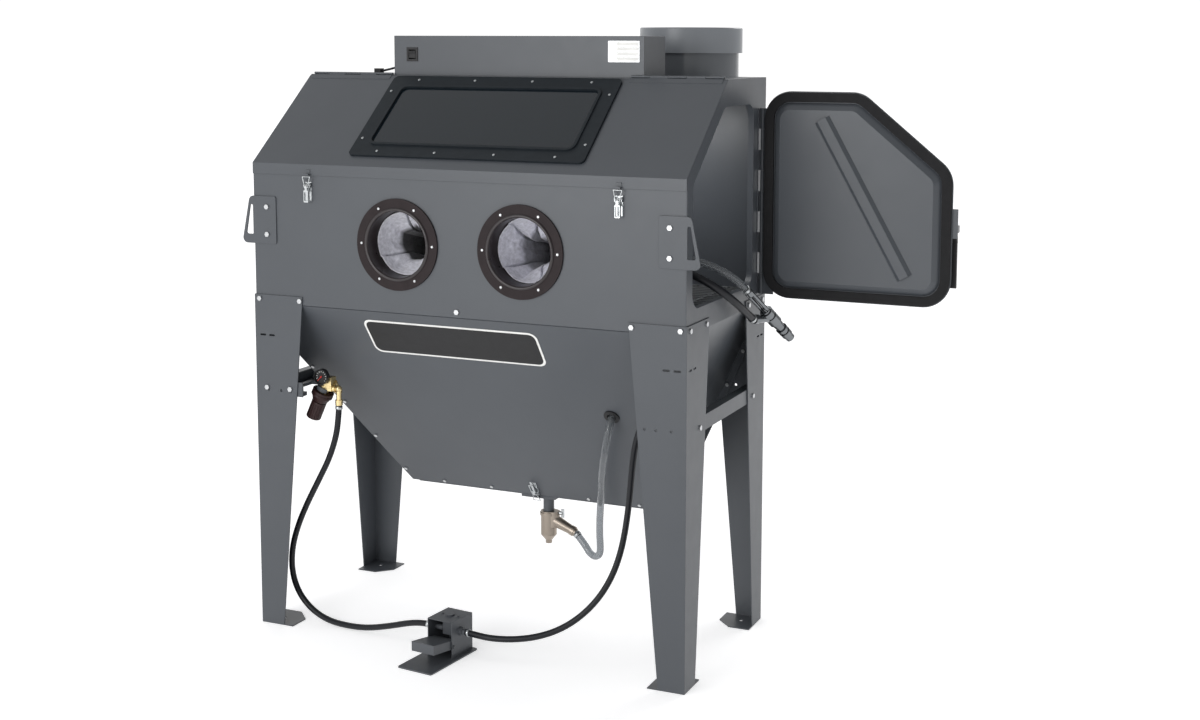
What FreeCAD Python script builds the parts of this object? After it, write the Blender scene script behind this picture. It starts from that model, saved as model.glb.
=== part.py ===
"""Sandblast cabinet on four legs: a steel box with a sloped window lid, two glove ports, a side
loading door, a media hopper, a foot pedal, an air regulator, a blast gun and a dust collector.

Millimetres. The origin is on the floor at the middle of the footprint, +Z is up, +X is to the
operator's right, and the operator stands on the -Y side.
"""
import FreeCAD, Part
import os
from math import atan2, cos, degrees, hypot, pi, radians, sin, sqrt, tan

os.makedirs("parts", exist_ok=True)
V = FreeCAD.Vector

# ---------------------------------------------------------------- driving dimensions
WIDTH = 1220.0               # cabinet body, left to right
DEPTH = 560.0                # cabinet body, front to back
SHEET = 2.0                  # panel thickness
BASE_Z = 875.0               # bottom edge of the body panels
FOLD_Z = 1247.0              # line where the front turns into the sloped lid
ROOF_Z = 1470.0              # flat roof
SLOPE_RUN = 270.0            # horizontal run of the sloped lid

SIDE_X = WIDTH / 2
FRONT_Y = -DEPTH / 2
BACK_Y = DEPTH / 2
INNER_X = SIDE_X - SHEET
SLOPE_RISE = ROOF_Z - FOLD_Z
SLOPE_LENGTH = hypot(SLOPE_RUN, SLOPE_RISE)
SLOPE_ANGLE = degrees(atan2(SLOPE_RISE, SLOPE_RUN))
LID_GAP = 2.5                # lid sheet plus running gap over the panel edges

LEG_TOP_Z = 897.0
LEG_TOP_WIDTH = 150.0
LEG_FOOT_WIDTH = 70.0
FOOT_PLATE = 98.0            # foot plate, each way
LEG_SHEET = 3.0
ANCHOR_INSET = 42.0          # anchor hole from the outer faces of the leg
ANCHOR_RADIUS = 6.0

PORT_X = 174.0               # glove ports either side of the middle
PORT_Z = 1050.0
PORT_RADIUS = 90.0
RING_RADIUS = 117.0
RING_SCREW_RADIUS = 103.0

HOPPER_TOP_Z = 873.0
HOPPER_FOOT_Z = 320.0
HOPPER_FRONT_FOOT_Y = 118.0  # lower edge of the sloping front wall
HOPPER_BACK_FOOT_Y = 265.0   # lower edge of the nearly upright back wall
HOPPER_FOOT_X = 358.0        # half width at the bottom
SEAM_FLANGE = 22.0           # joint flange past each corner of the hopper
COLLAR_TOP_Z = 900.0         # hopper collar inside the body, carries the grate

WINDOW_HALF_WIDTH = 333.0    # outer edge of the window frame
WINDOW_LOW = 32.0            # frame's lower edge, along the slope from the fold
WINDOW_HIGH = 340.0          # frame's upper edge
WINDOW_BORDER = 46.0

DOOR_BACK_Y = 186.0          # loading door opening in the right side panel
DOOR_FRONT_Y = -243.0
DOOR_LOW_Z = 931.0
DOOR_HIGH_Z = 1403.0
DOOR_SLANT_Z = 1226.0        # where the front edge turns into the slant
DOOR_CORNER = 40.0
DOOR_LAP = 30.0              # gasket past the opening
HINGE_X = 621.0              # door hinge line
HINGE_Y = 225.0
DOOR_OPEN_ANGLE = 90.0       # the door stands open

BOX_LEFT_X = -350.0          # lamp and switch box on the roof
BOX_RIGHT_X = 380.0
BOX_FRONT_Y = 2.0
BOX_BACK_Y = 142.0
BOX_TOP_Z = 1575.0

DRUM_X = 336.0               # dust collector behind the back panel
DRUM_Y = 440.0
DRUM_RADIUS = 132.0
DRUM_LOW_Z = 1180.0
DRUM_HIGH_Z = 1540.0
CAP_RADIUS = 142.0
CAP_LOW_Z = 1531.0
CAP_HIGH_Z = 1600.0
DUCT_Z = 1300.0
DUCT_RADIUS = 40.0

LATCH_X = 438.0              # front toggle latches either side of the middle
LATCH_Z = 1147.0             # lower edge of the latch base
OUTLET_LATCH_X = 18.0
OUTLET_LATCH_Z = 366.0

PICKUP_X = 36.0              # media pick-up under the hopper
PICKUP_Y = 150.0

REGULATOR = FreeCAD.Vector(-449.0, -220.0, 631.0)   # middle of the regulator's collar
REGULATOR_TILT = 24.7        # degrees, the knob leans to the left
GAUGE = FreeCAD.Vector(-438.0, -246.0, 680.0)       # middle of the gauge's front rim
ELBOW_Z = 647.0
INLET_MOUTH = FreeCAD.Vector(-417.0, -190.0, 630.0)
INLET_AXIS = FreeCAD.Vector(0.0, 0.6, -0.8)         # the air line leaves backwards and down

PEDAL_X = -45.5
PEDAL_Y = -321.0
PEDAL_TURN = -6.3            # degrees about the vertical
PEDAL_PIVOT_Y = 14.0         # in the pedal's own frame
PEDAL_PIVOT_Z = 33.0

GUN_TAIL = V(640.0, 66.0, 934.0)
GUN_AXIS = V(0.32, 0.69, -0.65).normalize()
GUN_LENGTH = 212.0

PIN_PLAY = 0.05              # radial clearance of running pins

# Routes of the hoses and the cable, chosen by hand from end to end.
SUPPLY_HOSE = [
    (-398, -220, 604), (-400, -221, 570), (-409, -219, 520), (-430, -221, 458), (-466, -219, 395),
    (-504, -221, 326), (-536, -219, 262), (-556, -221, 197), (-560, -220, 132), (-541, -221, 76),
    (-500, -223, 34), (-446, -227, 11), (-380, -238, 9), (-308, -247, 15), (-234, -255, 34),
    (-166, -262, 56), (-120, -267.5, 65), (-95.3, -270.2, 65),
]
SUPPLY_HOSE_RADIUS = 8.0
PEDAL_HOSE = [
    (14.1, -282.3, 65), (40, -285.2, 64), (88, -288, 62), (146, -277, 64), (204, -259, 73),
    (258, -238, 93), (305, -217, 126), (346, -199, 172), (377, -185, 228), (396, -173, 290),
    (406, -163, 356), (412, -155, 428), (416, -150, 500), (423, -149, 560), (437, -148, 608),
    (455, -142, 650),
]
PEDAL_HOSE_RADIUS = 8.0
GUN_HOSE = [
    (455, -108, 676), (448, -74, 709), (426, -54, 752), (392, -42, 802), (360, -44, 856),
    (345, -56, 906), (354, -70, 954), (386, -82, 990), (434, -90, 1008), (488, -95, 1010),
    (540, -97, 998), (586, -87, 977), (617, -59, 950), (635, -14, 919), (643, 36, 889),
    (648, 90, 860),
]
GUN_HOSE_RADIUS = 10.0
MEDIA_HOSE = [
    (119, 150, 216), (137, 147, 199), (153, 144, 182), (165, 141, 167), (181, 136, 161),
    (196, 130, 166), (205, 123, 179), (209, 115, 201), (213, 102, 234), (222, 82, 278), (236, 56, 327),
    (253, 24, 378), (274, -20, 430), (296, -62, 478), (315, -93, 517), (326, -108, 546),
    (334, -113, 575), (337, -105, 604), (337, -72, 634), (343, -48, 670), (343, -26, 712),
    (337, -12, 760), (333, -6, 812), (336, -6, 862), (347, -10, 908), (368, -18, 952),
    (402, -31, 990), (440, -42, 1014), (482, -46, 1026), (519, -37, 1022), (553, -24, 1013),
    (583, -6, 999), (609, 15, 981), (628, 40, 959), (640, 66, 934),
]
MEDIA_HOSE_RADIUS = 9.8
LAMP_CABLE = [
    (-352, 60, 1489), (-376, 57, 1490), (-402, 61, 1484), (-426, 60, 1479),
]
LAMP_CABLE_RADIUS = 3.0


# ---------------------------------------------------------------- shape helpers
def save(name, *pieces):
    """Write one node: a single solid, or a group of separate solids."""
    solids = [solid for piece in pieces for solid in piece.Solids]
    shape = solids[0] if len(solids) == 1 else Part.makeCompound(solids)
    shape.exportStep("parts/" + name + ".step")
    volume = sum(solid.Volume for solid in solids)
    valid = all(solid.isValid() for solid in solids)
    print(name, len(solids), "solids", round(volume / 1000.0, 2), "cm3", "valid", valid)


def fused(first, *others):
    """One solid from touching or overlapping pieces."""
    return first.multiFuse(list(others)).removeSplitter() if others else first


def box(x0, x1, y0, y1, z0, z1):
    """A block between two corners."""
    return Part.makeBox(x1 - x0, y1 - y0, z1 - z0, V(x0, y0, z0))


def rod(start, direction, radius, length):
    """A cylinder from a start point along a direction."""
    return Part.makeCylinder(radius, length, V(start), V(direction))


def tube(start, direction, outer, inner, length):
    """A hollow cylinder."""
    return rod(start, direction, outer, length).cut(rod(start, direction, inner, length))


def bend_points(before, corner, after, cut):
    """The start, middle and end of the arc that rounds a corner, and its radius."""
    back = (before - corner).normalize()
    ahead = (after - corner).normalize()
    half = back.getAngle(ahead) / 2
    radius = cut * tan(half)
    centre = corner + (back + ahead).normalize() * (cut / cos(half))
    middle = centre + (corner - centre).normalize() * radius
    return corner + back * cut, middle, corner + ahead * cut, radius


def closed_wire(points, radii):
    """A closed outline with each corner rounded by its radius; 0 leaves it sharp."""
    corners = [V(*point) for point in points]
    count = len(corners)
    stops = []
    for i, corner in enumerate(corners):
        before = corners[i - 1]
        after = corners[(i + 1) % count]
        half = (before - corner).getAngle(after - corner) / 2
        if radii[i] > 0:
            stops.append(bend_points(before, corner, after, radii[i] / tan(half)))
        else:
            stops.append((corner, None, corner, 0))
    edges = []
    for i, stop in enumerate(stops):
        if stop[3] > 0:
            edges.append(Part.Arc(stop[0], stop[1], stop[2]).toShape())
        edges.append(Part.LineSegment(stop[2], stops[(i + 1) % count][0]).toShape())
    return Part.Wire(edges)


def prism_x(profile, x0, x1, radius=0):
    """Extrude a (y, z) outline along X, with one corner radius."""
    wire = closed_wire([(x0, y, z) for y, z in profile], [radius] * len(profile))
    return Part.Face(wire).extrude(V(x1 - x0, 0, 0))


def prism_y(profile, y0, y1, radius=0):
    """Extrude an (x, z) outline along Y, with one corner radius."""
    wire = closed_wire([(x, y0, z) for x, z in profile], [radius] * len(profile))
    return Part.Face(wire).extrude(V(0, y1 - y0, 0))


def prism_z(profile, z0, z1, radius=0):
    """Extrude an (x, y) outline along Z, with one corner radius."""
    wire = closed_wire([(x, y, z0) for x, y in profile], [radius] * len(profile))
    return Part.Face(wire).extrude(V(0, 0, z1 - z0))


def turned(origin, direction, steps):
    """A stepped round piece: (distance, radius) pairs along its axis; the last pair is its end."""
    outline = [V(0, 0, steps[0][0])]
    for (start, radius), (end, _) in zip(steps, steps[1:]):
        outline += [V(radius, 0, start), V(radius, 0, end)]
    outline += [V(0, 0, steps[-1][0])]
    face = Part.Face(Part.makePolygon(outline + outline[:1]))
    solid = face.revolve(V(0, 0, 0), V(0, 0, 1), 360)
    solid.Placement = FreeCAD.Placement(origin, FreeCAD.Rotation(V(0, 0, 1), direction))
    return solid


def mirror_x(shape):
    """The other-hand copy across the middle plane."""
    return shape.mirror(V(0, 0, 0), V(1, 0, 0))


def mirror_y(shape):
    """The front-to-back copy across the middle plane."""
    return shape.mirror(V(0, 0, 0), V(0, 1, 0))


def placed(shape, origin, x_axis, y_axis, z_axis):
    """Move a shape from its own frame into the cabinet's."""
    moved = shape.copy()
    moved.Placement = FreeCAD.Placement(origin, FreeCAD.Rotation(x_axis, y_axis, z_axis, "XYZ"))
    return moved


def on_slope(shape):
    """From (across, along the slope, out of it) to the cabinet's frame."""
    along = V(0, cos(radians(SLOPE_ANGLE)), sin(radians(SLOPE_ANGLE)))
    out = V(0, -along.z, along.y)
    return placed(shape, V(0, FRONT_Y, FOLD_Z), V(1, 0, 0), along, out)


def hose(name, route, radius):
    """A tube along straight runs joined by the largest tangent arcs that they allow."""
    points = [V(*point) for point in route]
    edges = []
    radii = []
    start = points[0]
    for before, corner, after in zip(points, points[1:], points[2:]):
        shorter = min((corner - before).Length, (after - corner).Length)
        first, middle, last, bend = bend_points(before, corner, after, 0.45 * shorter)
        edges.append(Part.LineSegment(start, first).toShape())
        edges.append(Part.Arc(first, middle, last).toShape())
        radii.append(bend)
        start = last
    edges.append(Part.LineSegment(start, points[-1]).toShape())
    path = Part.Wire(edges)
    section = Part.Wire(Part.makeCircle(radius, points[0], points[1] - points[0]))
    solid = path.makePipeShell([section], True, False)
    ideal = path.Length * pi * radius ** 2
    ratio = solid.Volume / ideal
    smallest = min(radii) / (2 * radius)
    print("  route", name, round(path.Length), "mm long, volume ratio", round(ratio, 4))
    print("  radii", [round(bend) for bend in radii], "smallest in diameters", round(smallest, 1))
    save(name, solid)


class Bolt:
    """A hex bolt through sheet metal: head outside, shank, nut inside."""

    def __init__(self, point, outward, grip, size=4.0):
        self.point = V(*point)
        self.outward = V(*outward).normalize()
        self.grip = grip
        self.size = size

    def hexagon(self, base, height):
        """A hexagonal block standing on a base point along the outward direction."""
        wide = self.size * 1.75
        corners = [(wide * cos(radians(60 * i)), wide * sin(radians(60 * i)), 0) for i in range(6)]
        block = Part.Face(closed_wire(corners, [0] * 6)).extrude(V(0, 0, height))
        block.Placement = FreeCAD.Placement(base, FreeCAD.Rotation(V(0, 0, 1), self.outward))
        return block

    def solid(self):
        """Head, shank and nut as one piece."""
        inner_face = self.point - self.outward * self.grip
        head = self.hexagon(self.point, self.size * 0.9)
        shank = rod(inner_face - self.outward * self.size, self.outward, self.size,
                    self.grip + 1.5 * self.size)
        nut = self.hexagon(inner_face - self.outward * self.size * 0.9, self.size * 0.9)
        return fused(head, shank, nut)

    def hole(self):
        """The clearance hole through the sheets."""
        start = self.point - self.outward * (self.grip + 0.5)
        return rod(start, self.outward, self.size + PIN_PLAY, self.grip + 1.0)


def drilled(shape, bolts):
    """Cut the clearance holes of every bolt that passes through a shape."""
    for bolt in bolts:
        hole = bolt.hole()
        if shape.BoundBox.intersect(hole.BoundBox):
            shape = shape.cut(hole)
    return shape


def dome_screw(point, outward, radius):
    """A low round screw head standing on a face."""
    head = rod(V(*point), V(*outward), radius, radius * 0.35)
    top = V(*point) + V(*outward) * radius * 0.35
    crown = rod(top, V(*outward), radius * 0.7, radius * 0.2)
    return fused(head, crown)


# ---------------------------------------------------------------- fasteners through the panels
def leg_bolts():
    """Two bolts on each flange of each leg, near its top."""
    bolts = []
    for side in (-1, 1):
        for end in (-1, 1):
            for across, along in ((16.0, 21.0), (142.0, 129.0)):
                bolts.append(Bolt((side * (SIDE_X + LEG_SHEET - across), end * (BACK_Y + LEG_SHEET), 886),
                                  (0, end, 0), LEG_SHEET + 2 * SHEET))
                bolts.append(Bolt((side * (SIDE_X + LEG_SHEET), end * (BACK_Y + LEG_SHEET - along), 884),
                                  (side, 0, 0), LEG_SHEET + 2 * SHEET))
    return bolts


def brace_bolts():
    """One bolt at each end of each side brace."""
    return [Bolt((side * (SIDE_X + LEG_SHEET), end * 194.0, 637), (side, 0, 0), LEG_SHEET + SHEET)
            for side in (-1, 1) for end in (-1, 1)]


def panel_bolts():
    """The bolt that ties the hopper's collar to the front panel."""
    return [Bolt((-5.0, FRONT_Y, 889), (0, -1, 0), 2 * SHEET)]


def bracket_bolts():
    """The regulator bracket's two bolts through the left front leg."""
    return [Bolt((x, FRONT_Y - LEG_SHEET, 649), (0, -1, 0), LEG_SHEET + 2.5) for x in (-579.0, -507.0)]


def hopper_front_y(z):
    """The hopper front wall's outer face."""
    part = (HOPPER_TOP_Z - z) / (HOPPER_TOP_Z - HOPPER_FOOT_Z)
    return FRONT_Y + part * (HOPPER_FRONT_FOOT_Y - FRONT_Y)


def hopper_back_y(z):
    """The hopper back wall's outer face."""
    part = (HOPPER_TOP_Z - z) / (HOPPER_TOP_Z - HOPPER_FOOT_Z)
    return BACK_Y + part * (HOPPER_BACK_FOOT_Y - BACK_Y)


def hopper_side_x(z):
    """The right hopper wall's outer face."""
    part = (HOPPER_TOP_Z - z) / (HOPPER_TOP_Z - HOPPER_FOOT_Z)
    return INNER_X + part * (HOPPER_FOOT_X - INNER_X)


HOPPER_FALL = HOPPER_TOP_Z - HOPPER_FOOT_Z
FRONT_RUN = HOPPER_FRONT_FOOT_Y - FRONT_Y
FRONT_OUT = V(0, -HOPPER_FALL, -FRONT_RUN).normalize()
FRONT_DOWN = V(0, FRONT_RUN, -HOPPER_FALL).normalize()
BACK_OUT = V(0, HOPPER_FALL, HOPPER_BACK_FOOT_Y - BACK_Y).normalize()
SEAM_TOP_Z = 826.0           # the joint flanges start below the leg tops


def seam_bolts():
    """Bolts down the four corner seams of the hopper."""
    bolts = []
    for side in (-1, 1):
        for i in range(5):
            z = 358.0 + 108.0 * i
            x = side * (hopper_side_x(z) + 0.45 * SEAM_FLANGE)
            bolts.append(Bolt((x, hopper_front_y(z), z), FRONT_OUT, 2 * SHEET + 0.1, 3.0))
            z = 358.0 + 95.0 * i
            x = side * (hopper_side_x(z) + 0.45 * SEAM_FLANGE)
            bolts.append(Bolt((x, hopper_back_y(z), z), BACK_OUT, 2 * SHEET + 0.1, 3.0))
    return bolts


def base_bolts():
    """The row along the hopper's lower front edge."""
    return [Bolt((x, hopper_front_y(329), 329), FRONT_OUT, 2 * SHEET + 0.1, 3.0)
            for x in (-272, -122, 176, 326)]


GROMMET_SPOT = (337.0, hopper_front_y(617), 617.0)
GLAND_SPOT = (455.0, hopper_front_y(663), 663.0)


# ---------------------------------------------------------------- the body
def slope_offset_z(y, depth):
    """Height of the sloped plane at y, lowered square to the slope by a depth."""
    return FOLD_Z + (y - FRONT_Y) * SLOPE_RISE / SLOPE_RUN - depth / cos(radians(SLOPE_ANGLE))


def door_outline(grow, x):
    """The loading door's outline on a plane across X, grown by a margin."""
    slant_y = DOOR_FRONT_Y + (DOOR_HIGH_Z - DOOR_SLANT_Z) * SLOPE_RUN / SLOPE_RISE
    profile = [(DOOR_BACK_Y, DOOR_LOW_Z), (DOOR_BACK_Y, DOOR_HIGH_Z), (slant_y, DOOR_HIGH_Z),
               (DOOR_FRONT_Y, DOOR_SLANT_Z), (DOOR_FRONT_Y, DOOR_LOW_Z)]
    wire = closed_wire([(x, y, z) for y, z in profile], [DOOR_CORNER] * len(profile))
    return wire.makeOffset2D(grow) if grow else wire


def door_slab(grow, x0, x1):
    """A slab with the door's outline between two X planes."""
    return Part.Face(door_outline(grow, x0)).extrude(V(x1 - x0, 0, 0))


def side_panel():
    """The right side sheet, without its door opening."""
    step_y = FRONT_Y + SLOPE_RUN
    profile = [(FRONT_Y, BASE_Z), (BACK_Y, BASE_Z), (BACK_Y, ROOF_Z), (step_y, ROOF_Z),
               (step_y, slope_offset_z(step_y, LID_GAP)), (FRONT_Y, slope_offset_z(FRONT_Y, LID_GAP))]
    return prism_x(profile, INNER_X, SIDE_X)


def make_body(bolts):
    """The five panels that enclose the blasting chamber."""
    rim = door_slab(SHEET, INNER_X - 14, INNER_X).cut(door_slab(0, INNER_X - 14, INNER_X))
    right = fused(side_panel().cut(door_slab(0, INNER_X, SIDE_X)), rim)
    save("right_side_panel", drilled(right, bolts))
    save("left_side_panel", drilled(mirror_x(side_panel()), bolts))

    lip_y = FRONT_Y + 22
    front = prism_x([(FRONT_Y, BASE_Z), (FRONT_Y, slope_offset_z(FRONT_Y, LID_GAP)),
                     (lip_y, slope_offset_z(lip_y, LID_GAP)), (lip_y, slope_offset_z(lip_y, LID_GAP + SHEET)),
                     (FRONT_Y + SHEET, slope_offset_z(FRONT_Y + SHEET, LID_GAP + SHEET)),
                     (FRONT_Y + SHEET, BASE_Z)], -INNER_X, INNER_X)
    for side in (-1, 1):
        front = front.cut(rod(V(side * PORT_X, FRONT_Y - 1, PORT_Z), V(0, 1, 0), PORT_RADIUS, SHEET + 2))
    save("front_panel", drilled(front, bolts))

    back = box(-INNER_X, INNER_X, BACK_Y - SHEET, BACK_Y, BASE_Z, ROOF_Z)
    back = back.cut(rod(V(DRUM_X, BACK_Y - SHEET, DUCT_Z), V(0, 1, 0), DUCT_RADIUS + PIN_PLAY, SHEET))
    save("back_panel", drilled(back, bolts))

    roof = box(-INNER_X, INNER_X, FRONT_Y + SLOPE_RUN, BACK_Y - SHEET, ROOF_Z - SHEET, ROOF_Z)
    roof = roof.cut(box(-300, 300, 40, 100, ROOF_Z - SHEET, ROOF_Z))
    roof = roof.cut(rod(V(-436, 60, ROOF_Z - SHEET), V(0, 0, 1), 4.0, SHEET))
    save("roof_panel", roof)


# ---------------------------------------------------------------- legs and braces
def leg():
    """The right rear leg: two tapering flanges and a foot plate with its anchor hole."""
    out_x = SIDE_X + LEG_SHEET
    out_y = BACK_Y + LEG_SHEET
    across = prism_y([(out_x, 0), (out_x, LEG_TOP_Z), (out_x - LEG_TOP_WIDTH, LEG_TOP_Z),
                      (out_x - LEG_FOOT_WIDTH, 0)], BACK_Y, out_y)
    along = prism_x([(out_y, 0), (out_y, LEG_TOP_Z), (out_y - LEG_TOP_WIDTH, LEG_TOP_Z),
                     (out_y - LEG_FOOT_WIDTH, 0)], SIDE_X, out_x)
    chamfer = 58.0
    plate = prism_z([(out_x, out_y), (out_x, out_y - FOOT_PLATE), (out_x - chamfer, out_y - FOOT_PLATE),
                     (out_x - FOOT_PLATE, out_y - chamfer), (out_x - FOOT_PLATE, out_y)], 0, LEG_SHEET)
    shape = fused(across, along, plate)
    anchor = V(out_x - ANCHOR_INSET, out_y - ANCHOR_INSET, 0)
    shape = shape.cut(rod(anchor, V(0, 0, 1), ANCHOR_RADIUS, LEG_SHEET))
    for inset in (24.0, 52.0):
        x = out_x - inset
        y = out_y - inset
        slot_x = [(x - 9, 787), (x + 9, 787), (x + 9, 792), (x - 9, 792)]
        slot_y = [(y - 9, 787), (y + 9, 787), (y + 9, 792), (y - 9, 792)]
        shape = shape.cut(prism_y(slot_x, BACK_Y, out_y, 2.4))
        shape = shape.cut(prism_x(slot_y, SIDE_X, out_x, 2.4))
    for inset in (38.0, 78.0, 107.0):
        shape = shape.cut(rod(V(out_x - inset, BACK_Y, 643), V(0, 1, 0), 3.5, LEG_SHEET))
    return shape


def make_stand(bolts):
    """Four legs and the two side braces between them."""
    rear_right = leg()
    rear_left = mirror_x(rear_right)
    front_right = mirror_y(rear_right)
    front_left = mirror_x(front_right)
    save("legs", *[drilled(one, bolts) for one in (front_left, front_right, rear_left, rear_right)])
    web = box(SIDE_X - SHEET, SIDE_X, -225, 225, 622, 660)
    upper = box(SIDE_X - 26, SIDE_X, -225, 225, 658, 660)
    lower = box(SIDE_X - 26, SIDE_X, -225, 225, 622, 624)
    right = drilled(fused(web, upper, lower), bolts)
    save("side_braces", mirror_x(right), right)


# ---------------------------------------------------------------- the hopper
def make_hopper(bolts):
    """Four walls bolted together at their corner flanges, and the bottom plate."""
    y_in = SHEET * -FRONT_OUT.y
    z_in = SHEET * -FRONT_OUT.z
    seam_x = HOPPER_FOOT_X + SEAM_FLANGE
    outline = [(-INNER_X + SHEET, COLLAR_TOP_Z), (INNER_X - SHEET, COLLAR_TOP_Z), (INNER_X - SHEET, 874),
               (INNER_X, 874), (INNER_X, SEAM_TOP_Z), (seam_x, HOPPER_FOOT_Z), (-seam_x, HOPPER_FOOT_Z),
               (-INNER_X, SEAM_TOP_Z), (-INNER_X, 874), (-INNER_X + SHEET, 874)]
    collar_y = FRONT_Y + 2 * SHEET
    bend_z = HOPPER_TOP_Z + z_in - (2 * SHEET - y_in) * HOPPER_FALL / FRONT_RUN
    front = prism_x([(FRONT_Y + SHEET, COLLAR_TOP_Z), (FRONT_Y + SHEET, 874.5), (FRONT_Y, HOPPER_TOP_Z),
                     (HOPPER_FRONT_FOOT_Y, HOPPER_FOOT_Z), (HOPPER_FRONT_FOOT_Y + y_in, HOPPER_FOOT_Z + z_in),
                     (collar_y, bend_z), (collar_y, COLLAR_TOP_Z)], -INNER_X - 1, INNER_X + 1)
    front = front.common(prism_y(outline, FRONT_Y - 10, BACK_Y))
    grommet = V(*GROMMET_SPOT)
    gland = V(*GLAND_SPOT)
    front = front.cut(rod(grommet + FRONT_OUT * 5, FRONT_OUT * -1, 17.0, 12))
    front = front.cut(rod(gland + FRONT_OUT * 5, FRONT_OUT * -1, 9.0, 12))
    save("hopper_front", drilled(front, bolts))

    back = prism_x([(BACK_Y - 2 * SHEET, COLLAR_TOP_Z),
                    (BACK_Y - SHEET, COLLAR_TOP_Z), (BACK_Y - SHEET, 874.5),
                    (BACK_Y, HOPPER_TOP_Z), (HOPPER_BACK_FOOT_Y, HOPPER_FOOT_Z),
                    (HOPPER_BACK_FOOT_Y - SHEET, HOPPER_FOOT_Z), (BACK_Y - SHEET - 0.05, 871),
                    (BACK_Y - 2 * SHEET, 871)], -INNER_X - 1, INNER_X + 1)
    save("hopper_back", drilled(back.common(prism_y(outline, FRONT_Y, BACK_Y + 10)), bolts))

    gap = 0.05
    front_in = V(0, y_in + gap, z_in + gap)
    wall = prism_y([(INNER_X, COLLAR_TOP_Z), (INNER_X, HOPPER_TOP_Z), (HOPPER_FOOT_X, HOPPER_FOOT_Z),
                    (HOPPER_FOOT_X - SHEET, HOPPER_FOOT_Z), (INNER_X - SHEET, HOPPER_TOP_Z),
                    (INNER_X - SHEET, COLLAR_TOP_Z)], FRONT_Y, BACK_Y)
    between = prism_x([(collar_y + gap, COLLAR_TOP_Z), (collar_y + gap, bend_z),
                       (HOPPER_FRONT_FOOT_Y + front_in.y, HOPPER_FOOT_Z + front_in.z),
                       (HOPPER_BACK_FOOT_Y - SHEET - gap, HOPPER_FOOT_Z), (BACK_Y - 2 * SHEET - gap, 801),
                       (BACK_Y - 2 * SHEET - gap, COLLAR_TOP_Z)], 300, INNER_X + 1)
    wall = wall.common(between)
    low_z = HOPPER_FOOT_Z + 8
    strip = [(hopper_side_x(SEAM_TOP_Z) - SHEET, SEAM_TOP_Z), (INNER_X - 1, SEAM_TOP_Z),
             (seam_x + 3, low_z), (hopper_side_x(low_z) - SHEET, low_z)]
    front_strip = prism_x([(hopper_front_y(z) + y_in * n + gap, z + z_in * n) for z, n in
                           ((SEAM_TOP_Z, 1), (low_z, 1), (low_z, 2), (SEAM_TOP_Z, 2))], 340, INNER_X)
    back_strip = prism_x([(hopper_back_y(z) - SHEET * n - gap, z) for z, n in
                          ((SEAM_TOP_Z - 70, 1), (low_z, 1), (low_z, 2), (SEAM_TOP_Z - 70, 2))], 340, INNER_X)
    right = fused(wall, front_strip.common(prism_y(strip, FRONT_Y, BACK_Y)),
                  back_strip.common(prism_y(strip, FRONT_Y, BACK_Y)))
    right = drilled(right, [bolt for bolt in bolts if bolt.point.x > 0])
    save("hopper_sides", mirror_x(right), right)

    plate = box(-HOPPER_FOOT_X, HOPPER_FOOT_X, HOPPER_FRONT_FOOT_Y, HOPPER_BACK_FOOT_Y,
                HOPPER_FOOT_Z - SHEET, HOPPER_FOOT_Z)
    lip = prism_x([(hopper_front_y(z) + y_in * n + gap, z + z_in * n) for z, n in
                   ((HOPPER_FOOT_Z - 4, 1), (345, 1), (345, 2), (HOPPER_FOOT_Z - 4, 2))], -345, 345)
    lip = lip.cut(box(-400, 400, 0, 300, 250, HOPPER_FOOT_Z - SHEET))
    base = fused(plate, lip).cut(rod(V(PICKUP_X, PICKUP_Y, 300), V(0, 0, 1), 16.0, 40))
    save("hopper_base", drilled(base, bolts))


def grate_section(x0, x1, y0, y1):
    """One section of the work grate: a frame with long bars and cross bars."""
    low = COLLAR_TOP_Z
    high = low + 10
    bar = 5.0
    rows = max(2, round((y1 - y0) / 27.0))
    columns = max(1, round((x1 - x0) / 100.0))
    frame = box(x0, x1, y0, y1, low, high).cut(box(x0 + bar, x1 - bar, y0 + bar, y1 - bar, low, high))
    along = [y0 + (y1 - y0 - bar) * i / rows for i in range(1, rows)]
    across = [x0 + (x1 - x0 - bar) * i / columns for i in range(1, columns)]
    bars = [box(x0, x1, y, y + bar, low, high) for y in along]
    bars += [box(x, x + bar, y0, y1, low, high) for x in across]
    return fused(frame, *bars)


def make_grate():
    """The work grate in four sections, round the gap where the hoses rise."""
    x = INNER_X - 3
    y = BACK_Y - SHEET - 3
    gap_left, gap_right, gap_front, gap_back = 257.0, 425.0, -123.0, 37.0
    joint = 0.5
    save("work_grate", grate_section(-x, gap_left, -y, y), grate_section(gap_right, x, -y, y),
         grate_section(gap_left + joint, gap_right - joint, -y, gap_front),
         grate_section(gap_left + joint, gap_right - joint, gap_back, y))


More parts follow.
